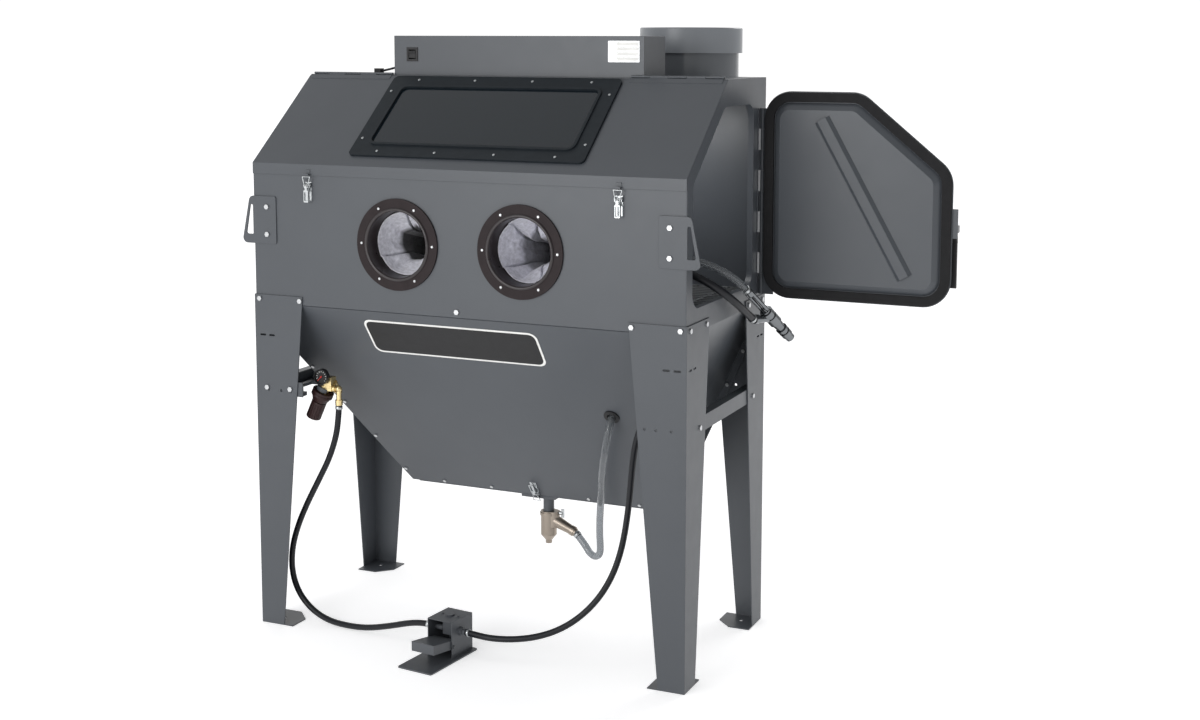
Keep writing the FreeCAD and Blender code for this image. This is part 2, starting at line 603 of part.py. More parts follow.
# ---------------------------------------------------------------- glove ports and handles
def make_glove_ports():
    """The port rings, and the gloves that hang inside them."""
    rings = []
    gloves = []
    for side in (-1, 1):
        x = side * PORT_X
        plate = tube(V(x, FRONT_Y - 5, PORT_Z), V(0, 1, 0), RING_RADIUS, PORT_RADIUS - 4, 5)
        collar = tube(V(x, FRONT_Y - 5, PORT_Z), V(0, 1, 0), PORT_RADIUS - 0.5, PORT_RADIUS - 4, 60)
        rings.append(fused(plate, collar))
        stations = [(-282, 0, 84), (-226, 0, 83), (-130, -12, 74), (-20, -34, 60), (70, -54, 52),
                    (118, -64, 40), (134, -68, 18)]
        outer = [Part.Wire(Part.makeCircle(r, V(x, y, PORT_Z + z), V(0, 1, 0))) for y, z, r in stations]
        inner = [Part.Wire(Part.makeCircle(r - 3, V(x, y - 3, PORT_Z + z), V(0, 1, 0)))
                 for y, z, r in stations[:-1]]
        mouth = rod(V(x, -300, PORT_Z), V(0, 1, 0), 81, 16)
        hollow = Part.makeLoft(inner, True)
        gloves.append(Part.makeLoft(outer, True).cut(hollow).cut(mouth))
    save("glove_rings", *rings)
    save("gloves", *gloves)


def make_carry_handles(bolts):
    """Flat lifting plates on the front corners, each with a finger window."""
    y0 = FRONT_Y - LEG_SHEET
    outline = closed_wire([(540, y0, 1032), (648, y0, 1032), (622, y0, 1157), (540, y0, 1157)],
                          [6, 14, 14, 6])
    plate = Part.Face(outline).extrude(V(0, LEG_SHEET, 0))
    window = closed_wire([(612, y0, 1056), (634, y0, 1056), (620, y0, 1134), (612, y0, 1134)], [3, 5, 3, 3])
    plate = plate.cut(Part.Face(window).extrude(V(0, LEG_SHEET, 0)))
    save("carry_handles", drilled(mirror_x(plate), bolts), drilled(plate, bolts))


def handle_bolts():
    """Two bolts through each carry handle."""
    return [Bolt((side * 568.0, FRONT_Y - LEG_SHEET, z), (0, -1, 0), LEG_SHEET + SHEET)
            for side in (-1, 1) for z in (1057.0, 1129.0)]


# ---------------------------------------------------------------- roof box and lamp
def make_roof_box():
    """The lamp and switch box, its lamp, lens, switch and black fittings."""
    wall = 1.5
    shell = box(BOX_LEFT_X, BOX_RIGHT_X, BOX_FRONT_Y, BOX_BACK_Y, ROOF_Z, BOX_TOP_Z)
    shell = shell.cut(box(BOX_LEFT_X + wall, BOX_RIGHT_X - wall, BOX_FRONT_Y + wall, BOX_BACK_Y - wall,
                          ROOF_Z, BOX_TOP_Z - wall))
    shell = shell.cut(box(-308, -280, BOX_FRONT_Y, BOX_FRONT_Y + wall, 1510, 1541))
    shell = shell.cut(rod(V(BOX_LEFT_X, 60, 1489), V(1, 0, 0), 4.5, wall))
    shell = shell.cut(box(-240, -210, BOX_BACK_Y - wall, BOX_BACK_Y, 1500, 1524))
    save("control_box", shell)

    save("lamp_lens", box(-312, 312, 30, 110, ROOF_Z, ROOF_Z + 3))
    lamp = rod(V(-290, 70, 1512), V(1, 0, 0), 13, 580)
    sockets = [box(x0, x0 + 16, 58, 82, ROOF_Z, 1530) for x0 in (-338, 322)]
    caps = [rod(V(x0, 70, 1512), V(1, 0, 0), 11, 32) for x0 in (-322, 290)]
    save("lamp_unit", fused(lamp, *caps), *sockets)

    bezel = box(-311, -277, BOX_FRONT_Y - 2, BOX_FRONT_Y, 1507, 1544)
    socket = box(-307.8, -280.2, BOX_FRONT_Y, BOX_FRONT_Y + 22, 1510.2, 1540.8)
    bezel = fused(bezel, socket).cut(box(-305, -283, BOX_FRONT_Y - 2, BOX_FRONT_Y + 16, 1513, 1538))
    bezel = bezel.cut(rod(V(-307, BOX_FRONT_Y + 7, 1525.5), V(1, 0, 0), 2.0 + PIN_PLAY, 26))
    inlet = fused(box(-244, -206, BOX_BACK_Y, BOX_BACK_Y + 3, 1494, 1530),
                  box(-239.8, -210.2, BOX_BACK_Y - 20, BOX_BACK_Y, 1500.2, 1523.8))
    inlet = inlet.cut(box(-236, -214, BOX_BACK_Y - 16, BOX_BACK_Y + 3, 1504, 1520))
    box_gland = fused(tube(V(BOX_LEFT_X + 3, 60, 1489), V(-1, 0, 0), 4.4, 3.0, 5),
                      tube(V(BOX_LEFT_X, 60, 1489), V(-1, 0, 0), 7.0, 3.0, 2))
    roof_gland = fused(box(-446, -426, 51, 69, ROOF_Z, 1486),
                       rod(V(-436, 60, ROOF_Z - 8), V(0, 0, 1), 3.9, 9))
    centre = V(*GROMMET_SPOT)
    bore = MEDIA_HOSE_RADIUS + 2.0
    grommet = fused(tube(centre + FRONT_OUT * 3, FRONT_OUT * -1, 16.9, bore, 8),
                    tube(centre + FRONT_OUT * 4, FRONT_OUT * -1, 21.0, bore, 4),
                    tube(centre - FRONT_OUT * 2, FRONT_OUT * -1, 20.0, bore, 3))
    save("plastic_fittings", bezel, inlet, box_gland, roof_gland, grommet)

    rocker = prism_x([(BOX_FRONT_Y - 3.5, 1535), (BOX_FRONT_Y - 1, 1525.5), (BOX_FRONT_Y - 1.5, 1516),
                      (BOX_FRONT_Y + 3, 1516), (BOX_FRONT_Y + 10, 1521), (BOX_FRONT_Y + 10, 1530),
                      (BOX_FRONT_Y + 3, 1535)], -304, -284)
    pin = rod(V(-306.5, BOX_FRONT_Y + 7, 1525.5), V(1, 0, 0), 2.0, 25)
    save("switch_rocker", fused(rocker, pin))


# ---------------------------------------------------------------- dust collector
def make_collector():
    """The drum behind the back panel: shell, cap, motor, fan and filter."""
    axis = V(0, 0, 1)
    wall = SHEET
    shell = rod(V(DRUM_X, DRUM_Y, DRUM_LOW_Z), axis, DRUM_RADIUS, DRUM_HIGH_Z - DRUM_LOW_Z)
    duct = rod(V(DRUM_X, BACK_Y - SHEET, DUCT_Z), V(0, 1, 0), DUCT_RADIUS, 60)
    bands = [box(DRUM_X - 70, DRUM_X + 70, BACK_Y, DRUM_Y, z, z + 30) for z in (1215, 1420)]
    feet = [box(DRUM_X - 100, DRUM_X + 100, BACK_Y, BACK_Y + 3, z - 10, z + 40) for z in (1215, 1420)]
    body = fused(shell, duct, *bands, *feet)
    body = body.cut(rod(V(DRUM_X, DRUM_Y, DRUM_LOW_Z + wall), axis, DRUM_RADIUS - wall, DRUM_HIGH_Z))
    body = body.cut(rod(V(DRUM_X, BACK_Y - SHEET, DUCT_Z), V(0, 1, 0), DUCT_RADIUS - 2, 60))
    save("collector_body", body)

    cap = rod(V(DRUM_X, DRUM_Y, CAP_LOW_Z), axis, CAP_RADIUS, CAP_HIGH_Z - CAP_LOW_Z)
    cap = cap.makeFillet(4, [edge for edge in cap.Edges if edge.BoundBox.ZMin > CAP_HIGH_Z - 1])
    room = CAP_HIGH_Z - DRUM_HIGH_Z - wall
    cap = cap.cut(rod(V(DRUM_X, DRUM_Y, DRUM_HIGH_Z), axis, CAP_RADIUS - wall, room))
    cap = cap.cut(rod(V(DRUM_X, DRUM_Y, CAP_LOW_Z), axis, DRUM_RADIUS + PIN_PLAY, DRUM_HIGH_Z - CAP_LOW_Z))
    for i in range(9):
        slot = box(DRUM_RADIUS, CAP_RADIUS + 2, -3, 3, 1556, 1586)
        slot.Placement = FreeCAD.Placement(V(DRUM_X, DRUM_Y, 0), FreeCAD.Rotation(axis, 50 + 10 * i))
        cap = cap.cut(slot)
    save("collector_cap", cap)

    plate = rod(V(DRUM_X, DRUM_Y, 1436), axis, DRUM_RADIUS - wall - PIN_PLAY, 4)
    plate = plate.cut(fused(*[rod(V(DRUM_X + 95 * cos(radians(a)), DRUM_Y + 95 * sin(radians(a)), 1436),
                                  axis, 16, 4) for a in range(0, 360, 60)]))
    can = rod(V(DRUM_X, DRUM_Y, 1440), axis, 58, 92)
    motor = fused(plate, can).cut(rod(V(DRUM_X, DRUM_Y, 1436), axis, 6 + PIN_PLAY, 60))
    save("collector_motor", motor)

    hub = rod(V(DRUM_X, DRUM_Y, 1402), axis, 18, 24)
    disc = rod(V(DRUM_X, DRUM_Y, 1424), axis, 98, 2)
    shaft = rod(V(DRUM_X, DRUM_Y, 1402), axis, 6, 90)
    blades = []
    for i in range(8):
        blade = box(14, 97, -1, 1, 1404, 1425)
        blade.Placement = FreeCAD.Placement(V(DRUM_X, DRUM_Y, 0), FreeCAD.Rotation(axis, 45 * i))
        blades.append(blade)
    save("collector_fan", fused(hub, disc, shaft, *blades))
    save("collector_filter", tube(V(DRUM_X, DRUM_Y, DRUM_LOW_Z + wall), axis, 84, 60, 190))


# ---------------------------------------------------------------- hinges
LID_HINGE_Y = -7.0
LID_HINGE_Z = 1473.5
LID_KNUCKLE = 3.0
LID_PIN = 1.5
DOOR_KNUCKLE = 5.0
DOOR_PIN = 2.5
DOOR_KNUCKLES = 9
DOOR_HINGE_LOW = 905.0
DOOR_HINGE_HIGH = 1391.0


def hinge_spans(start, end, count, gap=0.5):
    """Equal knuckle lengths along a hinge, with a small gap between neighbours."""
    step = (end - start) / count
    return [(start + i * step + gap / 2, start + (i + 1) * step - gap / 2) for i in range(count)]


def make_hinges():
    """The fixed hinge leaves and all the hinge pins."""
    leaves = []
    pins = []
    for side in (-1, 1):
        pieces = [box(min(side * 350, side * 600), max(side * 350, side * 600), LID_HINGE_Y + 2.4,
                      BOX_FRONT_Y - 0.6, ROOF_Z, ROOF_Z + 1.2)]
        for start, end in hinge_spans(350, 600, 5)[::2]:
            low, high = sorted((side * start, side * end))
            pieces.append(box(low, high, LID_HINGE_Y, LID_HINGE_Y + 3, ROOF_Z, LID_HINGE_Z))
            pieces.append(rod(V(low, LID_HINGE_Y, LID_HINGE_Z), V(1, 0, 0), LID_KNUCKLE, high - low))
        bore = rod(V(side * 475 - 130, LID_HINGE_Y, LID_HINGE_Z), V(1, 0, 0), LID_PIN + PIN_PLAY, 260)
        leaves.append(fused(*pieces).cut(bore))
        pins.append(rod(V(side * 475 - 125, LID_HINGE_Y, LID_HINGE_Z), V(1, 0, 0), LID_PIN, 250))

    pieces = [box(SIDE_X, SIDE_X + 2, HINGE_Y - 6, HINGE_Y + 27, DOOR_HINGE_LOW, DOOR_HINGE_HIGH)]
    for low, high in hinge_spans(DOOR_HINGE_LOW, DOOR_HINGE_HIGH, DOOR_KNUCKLES)[::2]:
        pieces.append(box(SIDE_X, HINGE_X, HINGE_Y + 2.6, HINGE_Y + 5, low, high))
        pieces.append(rod(V(HINGE_X, HINGE_Y, low), V(0, 0, 1), DOOR_KNUCKLE, high - low))
    length = DOOR_HINGE_HIGH - DOOR_HINGE_LOW
    bore = rod(V(HINGE_X, HINGE_Y, DOOR_HINGE_LOW), V(0, 0, 1), DOOR_PIN + PIN_PLAY, length)
    leaves.append(fused(*pieces).cut(bore))
    pins.append(rod(V(HINGE_X, HINGE_Y, DOOR_HINGE_LOW), V(0, 0, 1), DOOR_PIN, length))
    save("hinge_leaves", *leaves)
    pedal_pin = rod(V(-42, PEDAL_PIVOT_Y, PEDAL_PIVOT_Z), V(1, 0, 0), 4.0, 84)
    save("hinge_pins", *pins, at_pedal(pedal_pin))


# ---------------------------------------------------------------- toggle latches
LATCH_PIVOT = (0.0, -7.0, 44.0)    # lever pivot in the latch's own frame
LOOP_PIVOT = (0.0, -11.5, 38.0)    # wire loop's pivot on the lever
LOOP_TOP = 66.0
LOOP_NARROW = 4.7                  # half width of the loop at its axle
LOOP_WIDE = 11.0                   # half width of the loop at its cross bar
WIRE = 1.1


def latch_base():
    """Base plate, two ears and the lever's pin; the panel is at y = 0."""
    plate = box(-9.5, 9.5, -1.6, 0, 3, 52)
    ears = [box(x0, x0 + 1.5, -9.3, 0, 38, 50) for x0 in (-9.5, 8)]
    pin = rod(V(-11, LATCH_PIVOT[1], LATCH_PIVOT[2]), V(1, 0, 0), 1.5, 22)
    return fused(plate, *ears, pin)


def latch_lever():
    """The lever: a block on the pin and a thumb frame hanging from it."""
    block = prism_x([(-14, 29), (-4, 29), (-4, 47), (-10, 47), (-14, 41)], -3.2, 3.2)
    face = prism_y([(-7, 0), (7, 0), (7, 31), (-7, 31)], -14, -12.6, 2)
    face = face.cut(box(-5.0, 5.0, -15, -12, 3.5, 26.5))
    rims = [box(x0, x0 + 1.2, -12.6, -7, 4, 29) for x0 in (-7, 5.8)]
    lever = fused(block, face, *rims)
    lever = lever.cut(rod(V(-8, LATCH_PIVOT[1], LATCH_PIVOT[2]), V(1, 0, 0), 1.5 + PIN_PLAY, 16))
    return lever.cut(rod(V(-8, LOOP_PIVOT[1], LOOP_PIVOT[2]), V(1, 0, 0), WIRE + PIN_PLAY, 16))


def latch_loop():
    """A bent wire triangle: an axle through the lever, two spreading legs and a cross bar."""
    y = LOOP_PIVOT[1]
    corners = [V(-LOOP_NARROW, y, LOOP_PIVOT[2]), V(-LOOP_WIDE, y, LOOP_TOP),
               V(LOOP_WIDE, y, LOOP_TOP), V(LOOP_NARROW, y, LOOP_PIVOT[2])]
    sides = [rod(a, b - a, WIRE, (b - a).Length) for a, b in zip(corners, corners[1:] + corners[:1])]
    return fused(*sides, *[Part.makeSphere(WIRE, corner) for corner in corners])


def front_latch_frame(side):
    """Origin and axes of a front latch."""
    return V(side * LATCH_X, FRONT_Y, LATCH_Z), V(1, 0, 0), V(0, 1, 0), V(0, 0, 1)


def outlet_latch_frame():
    """Origin and axes of the outlet latch, upside down on the sloping hopper wall."""
    origin = V(OUTLET_LATCH_X, hopper_front_y(OUTLET_LATCH_Z), OUTLET_LATCH_Z)
    return origin, V(-1, 0, 0), FRONT_OUT * -1, FRONT_DOWN


def make_latches():
    """Three toggle latches; each one has a base, a lever and a wire loop."""
    frames = {"left_latch": front_latch_frame(-1), "right_latch": front_latch_frame(1),
              "outlet_latch": outlet_latch_frame()}
    save("latch_bases", *[placed(latch_base(), *frame) for frame in frames.values()])
    for name, frame in frames.items():
        save(name + "_lever", placed(latch_lever(), *frame))
        save(name + "_loop", placed(latch_loop(), *frame))


# ---------------------------------------------------------------- sloped lid with its window
def make_lid():
    """The lid sheet with its hinge leaves and catches, its window and the frame's screws."""
    fold_y = FRONT_Y - 3
    top_y = FRONT_Y + SLOPE_RUN - 3
    top_in = SHEET * sin(radians(SLOPE_ANGLE))
    sheet = prism_x([(fold_y, FOLD_Z - 31), (fold_y, slope_offset_z(fold_y, 0)),
                     (top_y, slope_offset_z(top_y, 0)),
                     (top_y + top_in, slope_offset_z(top_y + top_in, SHEET)),
                     (fold_y + SHEET, slope_offset_z(fold_y + SHEET, SHEET)), (fold_y + SHEET, FOLD_Z - 31)],
                    -SIDE_X, SIDE_X)
    low = WINDOW_LOW + WINDOW_BORDER + 8
    high = WINDOW_HIGH - WINDOW_BORDER - 8
    half = WINDOW_HALF_WIDTH - WINDOW_BORDER - 8
    sheet = sheet.cut(on_slope(box(-half, half, low, high, -10, 5)))
    additions = []
    for side in (-1, 1):
        latch = V(side * LATCH_X, FRONT_Y, LATCH_Z)
        catch = fused(box(-7, 7, -4.5, -3, 69.5, 84), box(-7, 7, -12.5, -3, 69.5, 71),
                      box(-7, 7, -12.5, -11, 69.5, 74))
        additions.append(placed(catch, latch, V(1, 0, 0), V(0, 1, 0), V(0, 0, 1)))
        additions.append(on_slope(box(min(side * 351, side * 599), max(side * 351, side * 599), 333,
                                      SLOPE_LENGTH - 1.5, 0, 1.2)))
        for start, end in hinge_spans(350, 600, 5)[1::2]:
            x0, x1 = sorted((side * start, side * end))
            additions.append(rod(V(x0, LID_HINGE_Y, LID_HINGE_Z), V(1, 0, 0), LID_KNUCKLE, x1 - x0))
            additions.append(on_slope(box(x0, x1, SLOPE_LENGTH - 4, SLOPE_LENGTH + 4.5, 0, 1.2)))
    sheet = fused(sheet, *additions)
    for side in (-1, 1):
        start = V(side * 475 - 130, LID_HINGE_Y, LID_HINGE_Z)
        sheet = sheet.cut(rod(start, V(1, 0, 0), LID_PIN + PIN_PLAY, 260))
    save("lid_panel", sheet)

    rebate = 9.0
    inner_half = WINDOW_HALF_WIDTH - WINDOW_BORDER
    frame = prism_z([(-WINDOW_HALF_WIDTH, WINDOW_LOW), (WINDOW_HALF_WIDTH, WINDOW_LOW),
                     (WINDOW_HALF_WIDTH, WINDOW_HIGH), (-WINDOW_HALF_WIDTH, WINDOW_HIGH)], 0, 6, 14)
    opening = [(-inner_half, low - 8), (inner_half, low - 8), (inner_half, high + 8), (-inner_half, high + 8)]
    lip_half = inner_half + 7
    lip = prism_z([(-lip_half, low - 15), (lip_half, low - 15),
                   (lip_half, high + 15), (-lip_half, high + 15)], 0, 10, 24)
    glass_half = inner_half + rebate
    seat = box(-glass_half - 0.2, glass_half + 0.2, low - 8 - rebate - 0.2, high + 8 + rebate + 0.2, 0, 4.1)
    frame = fused(frame, lip).cut(prism_z(opening, 0, 12, 18)).cut(seat)
    save("window_frame", on_slope(frame))
    save("window_glass", on_slope(box(-glass_half, glass_half, low - 8 - rebate, high + 8 + rebate, 0, 4)))

    pieces = []
    inset = 16.0
    for x in (-252, -84, 84, 252):
        pieces += [on_slope(dome_screw((x, s, 6), (0, 0, 1), 3.5))
                   for s in (WINDOW_LOW + inset, WINDOW_HIGH - inset)]
    for side in (-1, 1):
        pieces += [on_slope(dome_screw((side * (WINDOW_HALF_WIDTH - inset), s, 6), (0, 0, 1), 3.5))
                   for s in (WINDOW_LOW + 62, WINDOW_HIGH - 62)]
    save("lid_hardware", *pieces)


# ---------------------------------------------------------------- side loading door
def opened(shape):
    """Swing a piece of the door from its closed place to its open one."""
    return shape.rotated(V(HINGE_X, HINGE_Y, 0), V(0, 0, 1), DOOR_OPEN_ANGLE)


def bevelled(grow, shrink, x0, x1):
    """A block whose outline narrows from one X plane to the next."""
    return Part.makeLoft([door_outline(grow, x0), door_outline(shrink, x1)], True, True)


DOOR_SKIN_X = 618.0
PADDLE_PIVOT = (636.0, -272.0, 1098.0)


def make_door():
    """The loading door: skin and pan, gasket, diagonal stiffener and paddle handle."""
    skin = door_slab(DOOR_LAP + 3, DOOR_SKIN_X, DOOR_SKIN_X + SHEET)
    pan = bevelled(4, -14, DOOR_SKIN_X, DOOR_SKIN_X - 16).cut(
        bevelled(2.5, -15.5, DOOR_SKIN_X + 0.001, DOOR_SKIN_X - 14.5))
    leaf = box(DOOR_SKIN_X + SHEET, DOOR_SKIN_X + 2 * SHEET, HINGE_Y - 34, HINGE_Y - 5.2,
               DOOR_HINGE_LOW, DOOR_HINGE_HIGH)
    barrels = []
    for low, high in hinge_spans(DOOR_HINGE_LOW, DOOR_HINGE_HIGH, DOOR_KNUCKLES)[1::2]:
        barrels.append(box(DOOR_SKIN_X + SHEET, DOOR_SKIN_X + 2 * SHEET, HINGE_Y - 6, HINGE_Y, low, high))
        barrels.append(rod(V(HINGE_X, HINGE_Y, low), V(0, 0, 1), DOOR_KNUCKLE, high - low))
    bore = rod(V(HINGE_X, HINGE_Y, DOOR_HINGE_LOW), V(0, 0, 1), DOOR_PIN + PIN_PLAY,
               DOOR_HINGE_HIGH - DOOR_HINGE_LOW)
    x, y, z = PADDLE_PIVOT
    mount = box(DOOR_SKIN_X + SHEET, DOOR_SKIN_X + 5, y - 17, y + 17, z - 22, z + 52)
    cheeks = [box(DOOR_SKIN_X + SHEET, x + 7, y0, y0 + 3, z - 8, z + 10) for y0 in (y - 17, y + 14)]
    paddle_pin = rod(V(x, y - 17, z), V(0, 1, 0), 3.0, 34)
    door = fused(skin, pan, leaf, mount, paddle_pin, *cheeks, *barrels).cut(bore)
    for drain_y in (-180, 120):
        door = door.cut(rod(V(DOOR_SKIN_X - 1, drain_y, 950), V(1, 0, 0), 3.0, 4))
    save("door_panel", opened(door))

    gasket = door_slab(DOOR_LAP, SIDE_X + 0.5, DOOR_SKIN_X).cut(door_slab(6, SIDE_X + 0.5, DOOR_SKIN_X))
    save("door_gasket", opened(gasket))

    high = V(DOOR_SKIN_X - 16, 60, 1366)
    low = V(DOOR_SKIN_X - 16, -162, 972)
    along = (low - high).normalize()
    length = (low - high).Length
    hat = prism_x([(-21, 0), (21, 0), (12, 9), (-12, 9)], 0, length)
    save("door_stiffener", opened(placed(hat, high, along, V(-1, 0, 0).cross(along), V(-1, 0, 0))))

    blade = box(x + 4, x + 18, y - 12, y + 12, z - 150, z - 30)
    blade = blade.makeFillet(6, [edge for edge in blade.Edges if edge.BoundBox.XMin > x + 17])
    neck = prism_y([(x - 6, z + 7), (x + 6, z + 7), (x + 16, z - 36), (x + 6, z - 36), (x - 6, z - 7)],
                   y - 12, y + 12)
    handle = fused(blade, neck).cut(rod(V(x, y - 13, z), V(0, 1, 0), 3.0 + PIN_PLAY, 26))
    save("door_handle", opened(handle))


# ---------------------------------------------------------------- outlet and media pick-up
def make_outlet():
    """The outlet plate under the hopper, and the brass pick-up on its pipe."""
    axis = V(0, 0, 1)
    top = HOPPER_FOOT_Z - SHEET
    plate = box(-35, 68, 124, 240, top - 9, top)
    tongue = box(OUTLET_LATCH_X - 5, OUTLET_LATCH_X + 5, 112, 130, top - 5, top - 3)
    pipe = tube(V(PICKUP_X, PICKUP_Y, 262), axis, 15, 12.5, HOPPER_FOOT_Z + 2 - 262)
    plate = fused(plate, tongue).cut(rod(V(PICKUP_X, PICKUP_Y, 300), axis, 12.5, 40))
    save("outlet_plate", fused(plate, pipe))

    body = rod(V(PICKUP_X, PICKUP_Y, 202), axis, 22, 68)
    rim = rod(V(PICKUP_X, PICKUP_Y, 258), axis, 24.5, 8)
    tip = Part.makeCone(9, 22, 16, V(PICKUP_X, PICKUP_Y, 186), axis)
    plug = rod(V(PICKUP_X, PICKUP_Y, 178), axis, 9, 9)
    chamber = rod(V(PICKUP_X + 15, PICKUP_Y, 226), axis, 17, 44)
    branch_end = V(*MEDIA_HOSE[0])
    branch_start = V(PICKUP_X + 12, PICKUP_Y, 246)
    branch = (branch_end - branch_start).normalize()
    length = (branch_end - branch_start).Length
    stem = Part.makeCone(17, 11.5, length, branch_start, branch)
    collar = rod(branch_end - branch * 16, branch, 14, 11)
    valve = fused(body, rim, tip, plug, chamber, stem, collar)
    valve = valve.cut(rod(V(PICKUP_X, PICKUP_Y, 262), axis, 15 + PIN_PLAY, 8))
    valve = valve.cut(rod(V(PICKUP_X, PICKUP_Y, 196), axis, 11, 66))
    valve = valve.cut(rod(branch_start, branch, 6, 110))
    valve = valve.cut(rod(V(PICKUP_X, PICKUP_Y, 266), V(1, 0, 0), 2.5 + PIN_PLAY, 40))
    save("pickup_valve", valve)

    x0 = PICKUP_X + 15.3
    screw = rod(V(x0, PICKUP_Y, 266), V(1, 0, 0), 2.5, 26)
    boss = rod(V(x0 + 18, PICKUP_Y, 266), V(1, 0, 0), 5, 9)
    wing = box(x0 + 23, x0 + 32, PICKUP_Y - 1.5, PICKUP_Y + 1.5, 254, 278)
    save("pickup_thumb_screw", fused(screw, boss, wing))


# ---------------------------------------------------------------- air regulator
def tilted(shape):
    """From the regulator's own frame, knob down its -Z axis, to its leaning place."""
    moved = shape.copy()
    moved.Placement = FreeCAD.Placement(REGULATOR, FreeCAD.Rotation(V(0, 1, 0), REGULATOR_TILT))
    return moved


def make_regulator(bolts):
    """Bracket, regulator collar, knob, gauge and needle behind the left front leg."""
    axis = V(0, 0, 1)
    plate = box(-597, -470, FRONT_Y, FRONT_Y + 2.5, 630, 668)
    upper_arm = box(-490, -476, FRONT_Y, REGULATOR.y + 8, 655, 663)
    lower_arm = box(-490, -476, FRONT_Y, -252, 630, 640)
    web = box(-490, -487, FRONT_Y, -252, 630, 663)
    bridge = box(-490, -457, REGULATOR.y - 8, REGULATOR.y + 8, 655, 663)
    ring = tilted(rod(V(0, 0, 10), axis, 20, 11))
    bracket = fused(plate, upper_arm, lower_arm, web, bridge, ring)
    bracket = bracket.cut(tilted(rod(V(0, 0, 0), axis, 14 + PIN_PLAY, 60)))
    bracket = bracket.cut(box(-437.1, -390, REGULATOR.y - 12.1, REGULATOR.y + 12.1, 630, 690))
    save("regulator_bracket", drilled(bracket, bolts))

    collar = rod(V(0, 0, -6), axis, 29, 14)
    grooves = tube(V(0, 0, 0), axis, 30, 28, 2.5)
    bonnet = Part.makeCone(20, 27, 16, V(0, 0, -22), axis)
    body = fused(collar, bonnet).cut(grooves)
    body = body.cut(rod(V(0, 0, -22), axis, 6 + PIN_PLAY, 18))
    save("regulator_body", tilted(body))

    knob = rod(V(0, 0, -74), axis, 20, 50)
    knob = knob.makeFillet(3, [edge for edge in knob.Edges if edge.BoundBox.ZMax < -73])
    for i in range(14):
        angle = 2 * pi * i / 14
        knob = knob.cut(rod(V(20.8 * cos(angle), 20.8 * sin(angle), -68), axis, 2, 38))
    save("regulator_knob", tilted(fused(knob, rod(V(0, 0, -30), axis, 6, 25))))

    case = rod(GAUGE, V(0, 1, 0), 21, 14)
    case = case.cut(rod(GAUGE, V(0, 1, 0), 19, 6))
    case = case.cut(rod(GAUGE, V(0, 1, 0), 1 + PIN_PLAY, 12))
    save("pressure_gauge", case)
    needle = box(GAUGE.x - 0.8, GAUGE.x + 0.8, GAUGE.y + 3, GAUGE.y + 4, GAUGE.z - 4, GAUGE.z + 15)
    hub = rod(GAUGE + V(0, 2.5, 0), V(0, 1, 0), 2.5, 2.5)
    spindle = rod(GAUGE + V(0, 2.5, 0), V(0, 1, 0), 1, 9)
    save("gauge_needle", fused(needle, hub, spindle).rotated(GAUGE, V(0, 1, 0), -135))


def make_fittings():
    """Brass hose fittings: the regulator's block with its elbow, and the gland on the hopper."""
    axis = V(0, 0, 1)
    end = V(*SUPPLY_HOSE[0])
    block = box(-437, -414, REGULATOR.y - 12, REGULATOR.y + 12, 641, 678)
    neck = tilted(rod(V(0, 0, 8), axis, 14, 18))
    inlet = rod(INLET_MOUTH - INLET_AXIS * 40, INLET_AXIS, 9, 40)
    level = rod(V(-420, REGULATOR.y, ELBOW_Z), V(1, 0, 0), 6.9, end.x + 420)
    nut = rod(V(-414, REGULATOR.y, ELBOW_Z), V(1, 0, 0), 10, 7)
    drop = rod(end, axis, 7, ELBOW_Z + 3 - end.z)
    knuckle = Part.makeSphere(9, V(end.x, end.y, ELBOW_Z))
    ferrule = rod(end, axis, 10, 14)
    elbow = fused(block, neck, inlet, level, nut, drop, knuckle, ferrule)
    elbow = elbow.cut(rod(INLET_MOUTH - INLET_AXIS * 14, INLET_AXIS, 6.6, 15))

    wall = V(*GLAND_SPOT)
    outside = V(*PEDAL_HOSE[-1])
    inside = V(*GUN_HOSE[0])
    through = rod(wall + FRONT_OUT * 14, FRONT_OUT * -1, 8.9, 30)
    outer_nut = rod(wall + FRONT_OUT * 8, FRONT_OUT * -1, 14, 8)
    inner_nut = rod(wall - FRONT_OUT * 2, FRONT_OUT * -1, 14, 8)
    outer_leg = rod(outside, wall + FRONT_OUT * 10 - outside, 7.5, (wall + FRONT_OUT * 10 - outside).Length)
    inner_leg = rod(inside, wall - FRONT_OUT * 12 - inside, 7.5, (wall - FRONT_OUT * 12 - inside).Length)
    bulkhead = fused(through, outer_nut, inner_nut, outer_leg, inner_leg)
    save("hose_fittings", elbow, bulkhead)


# ---------------------------------------------------------------- foot pedal
def at_pedal(shape):
    """From the pedal's own frame to the floor in front of the cabinet."""
    turn = FreeCAD.Rotation(V(0, 0, 1), PEDAL_TURN)
    moved = shape.copy()
    moved.Placement = FreeCAD.Placement(V(PEDAL_X, PEDAL_Y, 0), turn).multiply(shape.Placement)
    return moved


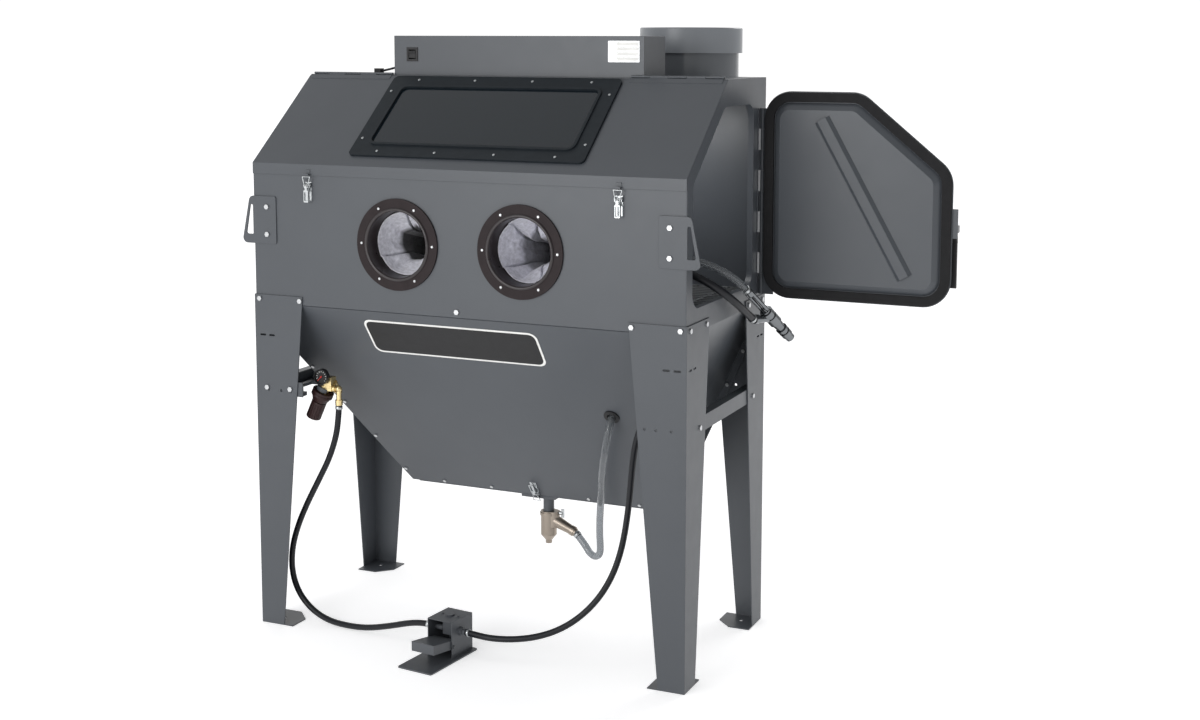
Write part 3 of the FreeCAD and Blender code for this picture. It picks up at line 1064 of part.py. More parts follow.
def make_pedal():
    """Base plate, valve housing with its hose ends, and the sprung tread."""
    base = prism_z([(-52, -100), (52, -100), (52, 100), (-52, 100)], 0, 4, 5)
    shell = box(-38, 38, 8, 97, 4, 98).cut(box(-36, 36, 6, 95, 4, 96))
    shell = shell.cut(rod(V(0, 54, 90), V(0, 0, 1), 12, 20))
    valve = fused(box(-14, 14, 40, 68, 50, 96), rod(V(0, 54, 90), V(0, 0, 1), 11, 11))
    nipples = [rod(V(-14, 45, 65), V(-1, 0, 0), 7, 41), rod(V(14, 45, 65), V(1, 0, 0), 7, 41)]
    nuts = [rod(V(-38, 45, 65), V(-1, 0, 0), 11, 8), rod(V(38, 45, 65), V(1, 0, 0), 11, 8)]
    bolts = [dome_screw((side * 24, 54, 98), (0, 0, 1), 4) for side in (-1, 1)]
    body = fused(base, shell, valve, *nipples, *nuts)
    body = body.cut(rod(V(-45, PEDAL_PIVOT_Y, PEDAL_PIVOT_Z), V(1, 0, 0), 4.0 + PIN_PLAY, 90))
    save("pedal_base", at_pedal(body), *[at_pedal(bolt) for bolt in bolts])

    side_profile = [(-64, 36), (-64, 61), (6, 50), (34, 44), (34, 36), (20, 27), (8, 27)]
    tread = prism_x(side_profile, -34.5, 34.5)
    hollow = prism_x([(-61, 30), (-61, 57), (5, 46.5), (31, 40.5), (40, 20)], -31.5, 31.5)
    tread = tread.cut(hollow)
    tread = tread.cut(rod(V(-40, PEDAL_PIVOT_Y, PEDAL_PIVOT_Z), V(1, 0, 0), 4.0 + PIN_PLAY, 80))
    save("pedal_tread", at_pedal(tread))


# ---------------------------------------------------------------- blast gun
def make_gun():
    """Steel gun hanging from its two hoses over the door sill."""
    side = V(1, 0, 0) - GUN_AXIS * GUN_AXIS.x
    side.normalize()
    rods = [rod(GUN_TAIL + side * offset, GUN_AXIS, 5.0, 92) for offset in (-8, 8)]
    tail = rod(GUN_TAIL, GUN_AXIS, 11.0, 14)
    rings = [(84, 14.0), (90, 17.5), (104, 14.5), (112, 17.0), (138, 13.5), (152, 12.0), (166, 15.5),
             (174, 12.5), (182, 15.0), (196, 12.5), (GUN_LENGTH, 12.5)]
    head = turned(GUN_TAIL, GUN_AXIS, rings)
    air_end = V(*GUN_HOSE[-1])
    air_way = (GUN_TAIL + GUN_AXIS * 124 - air_end).normalize()
    stub = rod(air_end, air_way, 9.0, 52)
    clamp = rod(air_end + air_way * 4, air_way, 12.0, 12)
    gun = head.multiFuse([tail, stub, clamp] + rods)
    gun = gun.cut(rod(GUN_TAIL + GUN_AXIS * 150, GUN_AXIS, 5.0, 80))
    save("blast_gun", gun)


def make_bolts(bolts):
    """Every bolt and screw that stays on the cabinet's fixed body."""
    pieces = [bolt.solid() for bolt in bolts]
    for side in (-1, 1):
        for i in range(6):
            angle = radians(60 * i)
            point = (side * PORT_X + RING_SCREW_RADIUS * cos(angle), FRONT_Y - 5,
                     PORT_Z + RING_SCREW_RADIUS * sin(angle))
            pieces.append(dome_screw(point, (0, -1, 0), 3.2))
    pieces += [dome_screw((SIDE_X + 2, HINGE_Y + 16, z), (1, 0, 0), 4) for z in (925, 1033, 1148, 1263, 1371)]
    save("body_bolts", *pieces)


def main():
    """Build every node."""
    bolts = leg_bolts() + brace_bolts() + panel_bolts() + bracket_bolts() + seam_bolts() + base_bolts()
    bolts += handle_bolts()
    make_body(bolts)
    make_stand(bolts)
    make_hopper(bolts)
    make_grate()
    make_glove_ports()
    make_carry_handles(bolts)
    make_roof_box()
    make_collector()
    make_hinges()
    make_latches()
    make_lid()
    make_door()
    make_outlet()
    make_regulator(bolts)
    make_fittings()
    make_pedal()
    make_gun()
    make_bolts(bolts)
    hose("supply_hose", SUPPLY_HOSE, SUPPLY_HOSE_RADIUS)
    hose("pedal_hose", PEDAL_HOSE, PEDAL_HOSE_RADIUS)
    hose("gun_hose", GUN_HOSE, GUN_HOSE_RADIUS)
    hose("media_hose", MEDIA_HOSE, MEDIA_HOSE_RADIUS)
    hose("lamp_cable", LAMP_CABLE, LAMP_CABLE_RADIUS)


main()
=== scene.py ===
"""Looks for the sandblast cabinet: camera, lights, hoses, cloth gloves, labels and materials."""
import math

import bmesh
import bpy
import numpy as np
from mathutils import Matrix, Vector, noise


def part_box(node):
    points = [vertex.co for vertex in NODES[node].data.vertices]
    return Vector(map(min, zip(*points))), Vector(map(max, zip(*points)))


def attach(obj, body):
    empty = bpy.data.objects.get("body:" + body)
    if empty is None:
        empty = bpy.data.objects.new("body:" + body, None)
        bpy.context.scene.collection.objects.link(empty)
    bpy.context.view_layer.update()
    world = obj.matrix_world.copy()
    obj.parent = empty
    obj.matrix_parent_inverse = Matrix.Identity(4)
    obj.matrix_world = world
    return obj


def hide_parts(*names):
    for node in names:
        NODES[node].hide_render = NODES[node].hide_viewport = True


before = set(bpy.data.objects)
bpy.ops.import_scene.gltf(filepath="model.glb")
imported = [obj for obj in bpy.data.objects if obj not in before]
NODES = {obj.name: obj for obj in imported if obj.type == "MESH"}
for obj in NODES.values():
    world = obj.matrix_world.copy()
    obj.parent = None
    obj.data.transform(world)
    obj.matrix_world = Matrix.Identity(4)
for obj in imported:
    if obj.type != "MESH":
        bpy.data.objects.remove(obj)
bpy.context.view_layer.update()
scene = bpy.context.scene

# Routes of the hoses and the cable, in metres: the control points of one smooth curve each.
SUPPLY_HOSE = [
    (-0.398, -0.220, 0.604), (-0.400, -0.221, 0.570), (-0.409, -0.219, 0.520), (-0.430, -0.221, 0.458),
    (-0.466, -0.219, 0.395), (-0.504, -0.221, 0.326), (-0.536, -0.219, 0.262), (-0.556, -0.221, 0.197),
    (-0.560, -0.220, 0.132), (-0.541, -0.221, 0.076), (-0.500, -0.223, 0.034), (-0.446, -0.227, 0.011),
    (-0.380, -0.238, 0.009), (-0.308, -0.247, 0.015), (-0.234, -0.255, 0.034), (-0.166, -0.262, 0.056),
    (-0.120, -0.2675, 0.065), (-0.0953, -0.2702, 0.065),
]
PEDAL_HOSE = [
    (0.0141, -0.2823, 0.065), (0.040, -0.2852, 0.064), (0.088, -0.288, 0.062), (0.146, -0.277, 0.064),
    (0.204, -0.259, 0.073), (0.258, -0.238, 0.093), (0.305, -0.217, 0.126), (0.346, -0.199, 0.172),
    (0.377, -0.185, 0.228), (0.396, -0.173, 0.290), (0.406, -0.163, 0.356), (0.412, -0.155, 0.428),
    (0.416, -0.150, 0.500), (0.423, -0.149, 0.560), (0.437, -0.148, 0.608), (0.455, -0.142, 0.650),
]
GUN_HOSE = [
    (0.455, -0.108, 0.676), (0.448, -0.074, 0.709), (0.426, -0.054, 0.752), (0.392, -0.042, 0.802),
    (0.360, -0.044, 0.856), (0.345, -0.056, 0.906), (0.354, -0.070, 0.954), (0.386, -0.082, 0.990),
    (0.434, -0.090, 1.008), (0.488, -0.095, 1.010), (0.540, -0.097, 0.998), (0.586, -0.087, 0.977),
    (0.617, -0.059, 0.950), (0.635, -0.014, 0.919), (0.643, 0.036, 0.889), (0.648, 0.090, 0.860),
]
MEDIA_HOSE = [
    (0.119, 0.150, 0.216), (0.137, 0.147, 0.199), (0.153, 0.144, 0.182), (0.165, 0.141, 0.167),
    (0.181, 0.136, 0.161), (0.196, 0.130, 0.166), (0.205, 0.123, 0.179), (0.209, 0.115, 0.201),
    (0.213, 0.102, 0.234), (0.222, 0.082, 0.278), (0.236, 0.056, 0.327), (0.253, 0.024, 0.378),
    (0.274, -0.020, 0.430), (0.296, -0.062, 0.478), (0.315, -0.093, 0.517), (0.326, -0.108, 0.546),
    (0.334, -0.113, 0.575), (0.337, -0.105, 0.604), (0.337, -0.072, 0.634), (0.343, -0.048, 0.670),
    (0.343, -0.026, 0.712), (0.337, -0.012, 0.760), (0.333, -0.006, 0.812), (0.336, -0.006, 0.862),
    (0.347, -0.010, 0.908), (0.368, -0.018, 0.952), (0.402, -0.031, 0.990), (0.440, -0.042, 1.014),
    (0.482, -0.046, 1.026), (0.519, -0.037, 1.022), (0.553, -0.024, 1.013), (0.583, -0.006, 0.999),
    (0.609, 0.015, 0.981), (0.628, 0.040, 0.959), (0.640, 0.066, 0.934),
]
LAMP_CABLE = [
    (-0.352, 0.060, 1.489), (-0.376, 0.057, 1.490), (-0.402, 0.061, 1.484), (-0.426, 0.060, 1.479),
]

# Sockets of a Mix node that mixes colours.
MIX_FIRST = 6
MIX_SECOND = 7
MIX_RESULT = 2


# ---------------------------------------------------------------- materials
def ramp(tree, value, low, high, start=0.0, stop=1.0):
    """Map a value from start..stop onto low..high."""
    made = tree.nodes.new("ShaderNodeMapRange")
    for key, number in (("From Min", start), ("From Max", stop), ("To Min", low), ("To Max", high)):
        made.inputs[key].default_value = number
    tree.links.new(value, made.inputs["Value"])
    return made.outputs["Result"]


def combine(tree, operation, *terms):
    """A maths node whose terms are sockets or plain numbers."""
    made = tree.nodes.new("ShaderNodeMath")
    made.operation = operation
    for socket, term in zip(made.inputs, terms):
        if isinstance(term, float):
            socket.default_value = term
        else:
            tree.links.new(term, socket)
    return made.outputs[0]


class Shader:
    """A small helper that builds one procedural material."""

    def __init__(self, name, colour, roughness, metallic=0.0):
        self.material = bpy.data.materials.new(name)
        self.material.use_nodes = True
        self.tree = self.material.node_tree
        self.bsdf = self.tree.nodes["Principled BSDF"]
        self.bsdf.inputs["Base Color"].default_value = (*colour, 1.0)
        self.bsdf.inputs["Roughness"].default_value = roughness
        self.bsdf.inputs["Metallic"].default_value = metallic
        self.colour = colour
        self.roughness = roughness
        self.position = self.tree.nodes.new("ShaderNodeTexCoord").outputs["Object"]

    def node(self, kind, **values):
        """Add a node; keyword names are inputs with spaces written as underscores."""
        made = self.tree.nodes.new(kind)
        for key, value in values.items():
            made.inputs[key.replace("_", " ")].default_value = value
        return made

    def link(self, out, into):
        """Join two sockets."""
        self.tree.links.new(out, into)

    def noise(self, scale, detail=3.0, stretch=None):
        """A noise value over the object's own coordinates, per metre."""
        made = self.node("ShaderNodeTexNoise", Scale=scale, Detail=detail)
        place = self.position
        if stretch:
            mapping = self.node("ShaderNodeMapping", Scale=stretch)
            self.link(place, mapping.inputs["Vector"])
            place = mapping.outputs["Vector"]
        self.link(place, made.inputs["Vector"])
        return made.outputs["Fac"]

    def tint(self, factor, dark, light):
        """Vary the base colour between two brightness levels, and return the mixed colour."""
        mix = self.node("ShaderNodeMix")
        mix.data_type = "RGBA"
        self.link(factor, mix.inputs["Factor"])
        mix.inputs[MIX_FIRST].default_value = (*[c * dark for c in self.colour], 1.0)
        mix.inputs[MIX_SECOND].default_value = (*[min(c * light, 1.0) for c in self.colour], 1.0)
        self.link(mix.outputs[MIX_RESULT], self.bsdf.inputs["Base Color"])
        return mix.outputs[MIX_RESULT]

    def gloss(self, factor, spread):
        """Vary the roughness around its value."""
        self.link(ramp(self.tree, factor, self.roughness - spread, self.roughness + spread),
                  self.bsdf.inputs["Roughness"])

    def bump(self, height, strength, distance, edge=0.0):
        """Raise the surface by a height field, over a softened edge."""
        made = self.node("ShaderNodeBump", Strength=strength, Distance=distance)
        self.link(height, made.inputs["Height"])
        if edge:
            bevel = self.node("ShaderNodeBevel", Radius=edge)
            bevel.samples = 4
            self.link(bevel.outputs["Normal"], made.inputs["Normal"])
        self.link(made.outputs["Normal"], self.bsdf.inputs["Normal"])


def painted(name, colour, roughness=0.38):
    """Smooth powder coat with a faint orange peel and rounded sheet edges."""
    s = Shader(name, colour, roughness)
    s.tint(s.noise(7.0, 4.0), 0.93, 1.07)
    s.gloss(s.noise(23.0), 0.05)
    s.bump(s.noise(900.0, 2.0), 0.05, 0.0004, edge=0.0012)
    s.bsdf.inputs["Specular IOR Level"].default_value = 0.45
    return s.material


def metal(name, colour, roughness, stretch=(1.0, 1.0, 14.0)):
    """Plated or machined metal with fine directional marks."""
    s = Shader(name, colour, roughness, 1.0)
    marks = s.noise(260.0, 3.0, stretch)
    s.tint(marks, 0.86, 1.08)
    s.gloss(marks, 0.08)
    s.bump(marks, 0.08, 0.0003, edge=0.0006)
    return s.material


def rubber(name, colour, roughness=0.5, grain=700.0, shine=0.3):
    """Rubber or moulded plastic with a fine grain."""
    s = Shader(name, colour, roughness)
    s.tint(s.noise(40.0), 0.8, 1.25)
    s.gloss(s.noise(60.0), 0.07)
    s.bump(s.noise(grain, 2.0), 0.12, 0.0003, edge=0.0008)
    s.bsdf.inputs["Specular IOR Level"].default_value = shine
    return s.material


def cloth(name, colour, shade_share):
    """Coarse cotton: crossing threads over mottled wear, darkened by painted shade far inside the sleeve,
    where the arm goes in, down to the share that the last argument gives.
    """
    # Painted shade: between these two depths the cotton's colour darkens to the given share, standing in
    # for the shade inside the sleeve.
    painted_shade_front = -0.174
    painted_shade_back = -0.160
    s = Shader(name, colour, 0.95)
    threads = []
    for axis in ("X", "Z"):
        wave = s.node("ShaderNodeTexWave", Scale=420.0, Distortion=1.5)
        wave.bands_direction = axis
        s.link(s.position, wave.inputs["Vector"])
        threads.append(wave.outputs["Fac"])
    weave = combine(s.tree, "MULTIPLY", *threads)
    blotch = combine(s.tree, "MULTIPLY_ADD", weave, 0.25, s.noise(110.0, 6.0))
    cotton = s.tint(blotch, 0.50, 1.55)
    place = s.node("ShaderNodeSeparateXYZ")
    s.link(s.position, place.inputs[0])
    painted_shade = ramp(s.tree, place.outputs["Y"], 1.0, shade_share, painted_shade_front, painted_shade_back)
    shade = s.node("ShaderNodeMix", Factor=1.0)
    shade.data_type = "RGBA"
    shade.blend_type = "MULTIPLY"
    s.link(cotton, shade.inputs[MIX_FIRST])
    s.link(painted_shade, shade.inputs[MIX_SECOND])
    s.link(shade.outputs[MIX_RESULT], s.bsdf.inputs["Base Color"])
    s.bump(blotch, 0.5, 0.0008)
    s.bsdf.inputs["Sheen Weight"].default_value = 0.35
    return s.material


def clear(name, colour, roughness, weight):
    """Glass or translucent plastic."""
    s = Shader(name, colour, roughness)
    s.bsdf.inputs["Transmission Weight"].default_value = weight
    s.bsdf.inputs["IOR"].default_value = 1.46
    s.gloss(s.noise(30.0, 2.0), min(0.03, roughness))
    return s.material


# Painted sheet metal: the cabinet's own coat, then the drum's and cap's coats, which are that paint
# lightened as painted light, and the pedal's coat.
PAINT = painted("slate_paint", (0.066, 0.073, 0.083))
# Painted light: these two coats are the cabinet's paint made lighter, so that the drum and cap read
# brighter than the light falling on them makes them.
PAINT_DRUM_LIGHTENED = painted("drum_paint", (0.130, 0.140, 0.152), 0.2)
PAINT_CAP_LIGHTENED = painted("cap_paint", (0.215, 0.230, 0.249), 0.3)
PAINT_PEDAL = painted("pedal_paint", (0.078, 0.085, 0.095), 0.45)
# Bare and plated metal.
ZINC = metal("zinc", (0.52, 0.54, 0.55), 0.3)
PLATED = metal("plated_bolt", (0.56, 0.57, 0.58), 0.32)
GUN_STEEL = metal("gun_steel", (0.20, 0.21, 0.22), 0.16, (3.0, 1.0, 1.0))
STEEL = metal("dull_steel", (0.50, 0.51, 0.52), 0.38)
GRATE = metal("grate_steel", (0.30, 0.31, 0.32), 0.5)
BRASS = metal("brass", (0.80, 0.64, 0.34), 0.3)
TAN_METAL = metal("valve_metal", (0.37, 0.32, 0.27), 0.36)
# Rubber, moulded plastic and other fine-grained parts.
FRAME_BLACK = rubber("window_frame_black", (0.013, 0.017, 0.021), 0.5, 700.0, 0.18)
COLLAR = rubber("port_throat", (0.018, 0.013, 0.014), 0.3, 700.0, 0.5)
RING_BROWN = rubber("ring_brown", (0.022, 0.016, 0.017), 0.5, 700.0, 0.14)
SEAL = rubber("seal_foam", (0.009, 0.009, 0.010), 0.75, 420.0)
PLASTIC = rubber("black_plastic", (0.014, 0.014, 0.015), 0.42)
KNOB = rubber("knob_plastic", (0.026, 0.010, 0.010), 0.4)
HOSE = rubber("hose_rubber", (0.007, 0.008, 0.011), 0.36, 1200.0, 0.3)
WHITE = rubber("white_enamel", (0.75, 0.75, 0.73), 0.4)
PAPER = rubber("filter_paper", (0.70, 0.66, 0.56), 0.9, 120.0)
RED = rubber("needle_red", (0.45, 0.02, 0.015), 0.4)
# Cotton by side: -1 is the operator's left glove, 1 the right one; the last number is the share that
# painted shade leaves of the colour far inside each sleeve.
CLOTH = {-1: cloth("left_cotton", (0.60, 0.60, 0.66), 0.05),
         1: cloth("right_cotton", (0.54, 0.54, 0.60), 0.5)}
# See-through parts.
CLEAR_HOSE = clear("clear_hose", (0.27, 0.29, 0.31), 0.09, 0.72)
# Painted shade: the pane is tinted nearly black and lets little light through, standing in for the shaded
# inside of the cabinet seen through it.
GLASS = clear("window_pane", (0.007, 0.013, 0.019), 0.15, 0.22)
LENS = clear("lamp_lens", (0.95, 0.95, 0.95), 0.3, 0.9)

# Material of each CAD node; a node that no row names is painted sheet metal.
LOOKS = [
    (PAINT_DRUM_LIGHTENED, ["collector_body"]),
    (PAINT_CAP_LIGHTENED, ["collector_cap"]),
    (PAINT_PEDAL, ["pedal_base", "pedal_tread", "outlet_plate", "hinge_pins"]),
    (ZINC, ["latch_bases", "left_latch_lever", "left_latch_loop", "right_latch_lever", "right_latch_loop",
            "outlet_latch_lever", "outlet_latch_loop", "lid_hardware", "pickup_thumb_screw"]),
    (PLATED, ["body_bolts"]),
    (GUN_STEEL, ["blast_gun"]),
    (GRATE, ["work_grate"]),
    (BRASS, ["hose_fittings"]),
    (TAN_METAL, ["pickup_valve"]),
    (FRAME_BLACK, ["window_frame"]),
    (RING_BROWN, ["glove_rings"]),
    (SEAL, ["door_gasket"]),
    (PLASTIC, ["plastic_fittings", "switch_rocker", "door_handle", "collector_fan", "collector_motor",
               "pressure_gauge"]),
    (KNOB, ["regulator_knob", "regulator_body"]),
    (WHITE, ["lamp_unit"]),
    (PAPER, ["collector_filter"]),
    (RED, ["gauge_needle"]),
    (GLASS, ["window_glass"]),
    (LENS, ["lamp_lens"]),
]


def dress(piece, material):
    """Give an object one material."""
    piece.data.materials.clear()
    piece.data.materials.append(material)


def dress_frame():
    """Give every CAD node its material."""
    chosen = {name: look for look, names in LOOKS for name in names}
    for name, piece in NODES.items():
        dress(piece, chosen.get(name, PAINT))


# ---------------------------------------------------------------- pieces
def on_circle(radius, angle):
    """The two coordinates of a point on a circle round the origin."""
    return Vector((radius * math.cos(angle), radius * math.sin(angle)))


def tube_faces(rows, count):
    """Quads between closed rows of points."""
    faces = []
    for near in range(0, (rows - 1) * count, count):
        far = near + count
        faces += [(near + j, near + (j + 1) % count, far + (j + 1) % count, far + j) for j in range(count)]
    return faces


def add_mesh(name, points, faces, material, smooth=True):
    """A new mesh object that rides on the cabinet."""
    data = bpy.data.meshes.new(name)
    data.from_pydata([tuple(p) for p in points], [], faces)
    data.update()
    piece = bpy.data.objects.new(name, data)
    scene.collection.objects.link(piece)
    for polygon in data.polygons:
        polygon.use_smooth = smooth
    dress(piece, material)
    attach(piece, "cabinet")
    return piece


def add_cord(name, route, radius, length, material, slot, **facts):
    """One hose or cable as a smooth curve, in place of its CAD solid."""
    data = bpy.data.curves.new(name + "_line", "CURVE")
    data.dimensions = "3D"
    data.bevel_depth = radius
    data.bevel_resolution = 6
    data.resolution_u = 10
    data.use_fill_caps = True
    spline = data.splines.new("NURBS")
    spline.points.add(len(route) - 1)
    for point, place in zip(spline.points, route):
        point.co = (*place, 1.0)
    spline.order_u = 3
    spline.use_endpoint_u = True
    piece = bpy.data.objects.new(name + "_look", data)
    scene.collection.objects.link(piece)
    data.materials.append(material)
    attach(piece, "cabinet")
    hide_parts(name)


def rounded_plate(name, centre, right, up, size, corner, thick, material):
    """A thin plate with rounded corners standing on a surface."""
    right = Vector(right).normalized()
    up = Vector(up).normalized()
    out = right.cross(up)
    outline = []
    for quarter, (sx, sy) in enumerate(((1, 1), (-1, 1), (-1, -1), (1, -1))):
        for step in range(7):
            angle = math.radians(90 * quarter + 15 * step)
            outline.append((sx * (size[0] / 2 - corner) + corner * math.cos(angle),
                            sy * (size[1] / 2 - corner) + corner * math.sin(angle)))
    points = []
    for height in (0.0, thick):
        points += [Vector(centre) + right * x + up * y + out * height for x, y in outline]
    count = len(outline)
    faces = [tuple(range(count))[::-1], tuple(range(count, 2 * count))]
    faces += [(i, (i + 1) % count, count + (i + 1) % count, count + i) for i in range(count)]
    add_mesh(name, points, faces, material, smooth=False)


def ring_band(name, centre, axis, radius, width, thick, material):
    """A clamp band round a hose."""
    count = 40
    relief = 0.0004
    axis = Vector(axis).normalized()
    turn = Vector((0, 0, 1)).rotation_difference(axis).to_matrix()
    profile = [(radius, -width / 2), (radius + thick, -width / 2 + relief),
               (radius + thick, width / 2 - relief), (radius, width / 2)]
    points = []
    for i in range(count):
        angle = 2 * math.pi * i / count
        for r, z in profile:
            points.append(Vector(centre) + turn @ Vector((r * math.cos(angle), r * math.sin(angle), z)))
    size = len(profile)
    faces = [(i * size + j, i * size + (j + 1) % size, ((i + 1) % count) * size + (j + 1) % size,
              ((i + 1) % count) * size + j) for i in range(count) for j in range(size)]
    add_mesh(name, points, faces, material)


def bake_modifiers(piece):
    """Turn a piece's modifiers into its mesh, shaded smooth."""
    bpy.context.view_layer.update()
    ready = bpy.data.meshes.new_from_object(piece.evaluated_get(bpy.context.evaluated_depsgraph_get()))
    piece.modifiers.clear()
    piece.data = ready
    for polygon in ready.polygons:
        polygon.use_smooth = True


# ---------------------------------------------------------------- gloves
# The ports' centres stand PORT_X to each side of the middle; the cloth stays inside PORT_BORE.
PORT_X = 0.174
PORT_Z = 1.050
PORT_BORE = 0.0822
GLOVE_SEED = {-1: 5, 1: 12}
# Degrees that a fold may wander, and that the sleeve turns from ring to ring.
FOLD_SWAY = 9.0
FOLD_TWIST = 3.0
# Share of the radius that a fold may stand in or out by chance, and how sharp its edge stays.
FOLD_CHANCE = 0.10
FOLD_CREASE = 0.75
# Rows from the ring inwards: depth y, the centre's shift to the right, its rise, and the radius.
SLEEVE = [
    (-0.243, 0.000, 0.000, 0.0812), (-0.216, 0.000, 0.000, 0.0800), (-0.198, -0.003, -0.003, 0.0700),
    (-0.182, -0.008, -0.007, 0.0580), (-0.165, -0.012, -0.011, 0.0480), (-0.140, -0.012, -0.015, 0.0430),
    (-0.100, -0.008, -0.020, 0.0420), (-0.040, -0.003, -0.032, 0.0440), (0.040, 0.000, -0.048, 0.0470),
]
# The sleeve reaches its full slack at this row.
SLACK_ROW = 3.0
# Folds round the sleeve: angle in degrees, share of the radius, and how far in a tuck's ridge stands.
FOLDS = {
    -1: [(14, 0.74, 0.0), (38, 1.00, 0.0), (62, 0.84, 0.30), (80, 1.00, 0.0), (97, 0.90, 0.34),
         (136, 1.04, 0.0), (172, 0.98, 0.0), (207, 0.90, 0.26), (238, 1.00, 0.0), (274, 0.86, 0.0),
         (312, 1.00, 0.20), (342, 0.82, 0.0)],
    1: [(10, 0.80, 0.24), (34, 1.00, 0.0), (57, 0.74, 0.0), (78, 1.02, 0.26), (108, 0.66, 0.0),
        (128, 0.98, 0.22), (158, 0.80, 0.0), (186, 0.70, 0.0), (214, 0.92, 0.30), (246, 1.00, 0.0),
        (284, 0.84, 0.34), (322, 1.00, 0.0)],
}
# Radius and depth y of the port's moulded throat, from its flange inwards.
COLLAR_PROFILE = [(0.0932, -0.2868), (0.0912, -0.2888), (0.0880, -0.2892), (0.0856, -0.2876),
                  (0.0842, -0.2830), (0.0834, -0.2600), (0.0826, -0.2250), (0.0818, -0.2085)]
COLLAR_STEPS = 96


def folded_ring(folds, radius, slack, twist, chance):
    """One row of cloth as corners, each an angle and a radius; a tuck has a ridge between two corners."""
    ring = []
    for angle, reach, tuck in folds:
        turn = math.radians(angle + FOLD_SWAY * slack * (float(chance.random()) - 0.5) + twist)
        r = radius * (1.0 + slack * (reach - 1.0 + FOLD_CHANCE * (float(chance.random()) - 0.5)))
        if tuck:
            width = 0.035 + 0.045 * slack
            ring += [(turn - width, r), (turn, r * (1.0 + slack * tuck)), (turn + width, r * 0.97)]
        else:
            ring.append((turn, r))
    return ring


def ring_points(ring, slack):
    """Three points to each stretch between corners: an arc where the cloth is tight, flat where slack."""
    points = []
    for (a0, r0), (a1, r1) in zip(ring, ring[1:] + [(ring[0][0] + 2 * math.pi, ring[0][1])]):
        start = on_circle(r0, a0)
        end = on_circle(r1, a1)
        for t in (0.0, 1 / 3, 2 / 3):
            arc = on_circle(r0 + t * (r1 - r0), a0 + t * (a1 - a0))
            place = start.lerp(end, t) * slack + arc * (1.0 - slack)
            points.append(place * min(1.0, PORT_BORE / place.length))
    return points


def ripple(mesh, side):
    """Small waves in the cloth, fading out at the ring."""
    for vertex in mesh.vertices:
        way = Vector((vertex.co.x - side * PORT_X, 0, vertex.co.z - PORT_Z)).normalized()
        depth = min(1.0, max(0.0, (vertex.co.y + 0.234) / 0.03))
        height = noise.noise(vertex.co * 26.0) * 0.0050 + noise.noise(vertex.co * 70.0) * 0.0018
        vertex.co += way * min(height, 0.0015) * depth


def add_glove(side):
    """A cotton sleeve that buckles into broad flat folds and tucks, with a hand at its end."""
    name = "glove_left" if side < 0 else "glove_right"
    chance = np.random.default_rng(GLOVE_SEED[side])
    points = []
    for i, (y, shift, rise, radius) in enumerate(SLEEVE):
        slack = min(1.0, i / SLACK_ROW)
        row = ring_points(folded_ring(FOLDS[side], radius, slack, FOLD_TWIST * i, chance), slack)
        points += [Vector((side * PORT_X + shift + p.x, y, PORT_Z + rise + p.y)) for p in row]
    count = len(row)
    sleeve = add_mesh(name, points, tube_faces(len(SLEEVE), count), CLOTH[side])
    crease = sleeve.data.attributes.new("crease_edge", "FLOAT", "EDGE")
    for edge in sleeve.data.edges:
        a, b = edge.vertices
        along_fold = a % count == b % count and a % 3 == 0
        crease.data[edge.index].value = FOLD_CREASE if along_fold else 0.0
    smooth = sleeve.modifiers.new("round", "SUBSURF")
    smooth.levels = 3
    smooth.render_levels = 3
    bake_modifiers(sleeve)
    ripple(sleeve.data, side)
    dress(sleeve, CLOTH[side])
    thick = sleeve.modifiers.new("thickness", "SOLIDIFY")
    thick.thickness = 0.0014
    thick.offset = -1.0
    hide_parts("gloves")
    add_collar(side, name)
    add_hand(side, name)


def add_collar(side, name):
    """The port's moulded throat: a rounded lip on the ring and a short dark sleeve inside it."""
    points = []
    for r, y in COLLAR_PROFILE:
        for k in range(COLLAR_STEPS):
            angle = 2 * math.pi * k / COLLAR_STEPS
            points.append((side * PORT_X + r * math.cos(angle), y, PORT_Z + r * math.sin(angle)))
    faces = tube_faces(len(COLLAR_PROFILE), COLLAR_STEPS)
    add_mesh(name + "_collar", points, faces, COLLAR)


def hand_blobs(side):
    """Overlapping balls, each a place and its three radii: the palm, four fingers and the thumb."""
    x0 = side * PORT_X
    blobs = [((x0, 0.052, 0.999), (0.034, 0.030, 0.026)), ((x0, 0.030, 1.002), (0.038, 0.026, 0.034))]
    for i in range(4):
        across = i - 1.5
        for k in range(5):
            place = (x0 + 0.0165 * across, 0.072 + 0.0115 * k - 0.004 * abs(across), 0.995 - 0.0028 * k * k)
            blobs.append((place, (0.0092, 0.0100, 0.0092)))
    for k in range(4):
        place = (x0 - side * (0.030 + 0.003 * k), 0.052 + 0.011 * k, 1.000 - 0.002 * k)
        blobs.append((place, (0.0098, 0.0105, 0.0098)))
    return blobs


def add_hand(side, name):
    """The glove's hand: balls joined into one skin and smoothed."""
    form = bmesh.new()
    for place, size in hand_blobs(side):
        grow = Matrix.Translation(place) @ Matrix.Diagonal((*size, 1.0))
        bmesh.ops.create_icosphere(form, subdivisions=3, radius=1.0, matrix=grow)
    data = bpy.data.meshes.new(name + "_hand")
    form.to_mesh(data)
    form.free()
    hand = bpy.data.objects.new(name + "_hand", data)
    scene.collection.objects.link(hand)
    remesh = hand.modifiers.new("join", "REMESH")
    remesh.mode = "VOXEL"
    remesh.voxel_size = 0.0022
    smooth = hand.modifiers.new("soften", "SMOOTH")
    smooth.iterations = 6
    bake_modifiers(hand)
    dress(hand, CLOTH[side])
    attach(hand, "cabinet")


# ---------------------------------------------------------------- labels and small trims
ACROSS = (1, 0, 0)
UPRIGHT = (0, 0, 1)
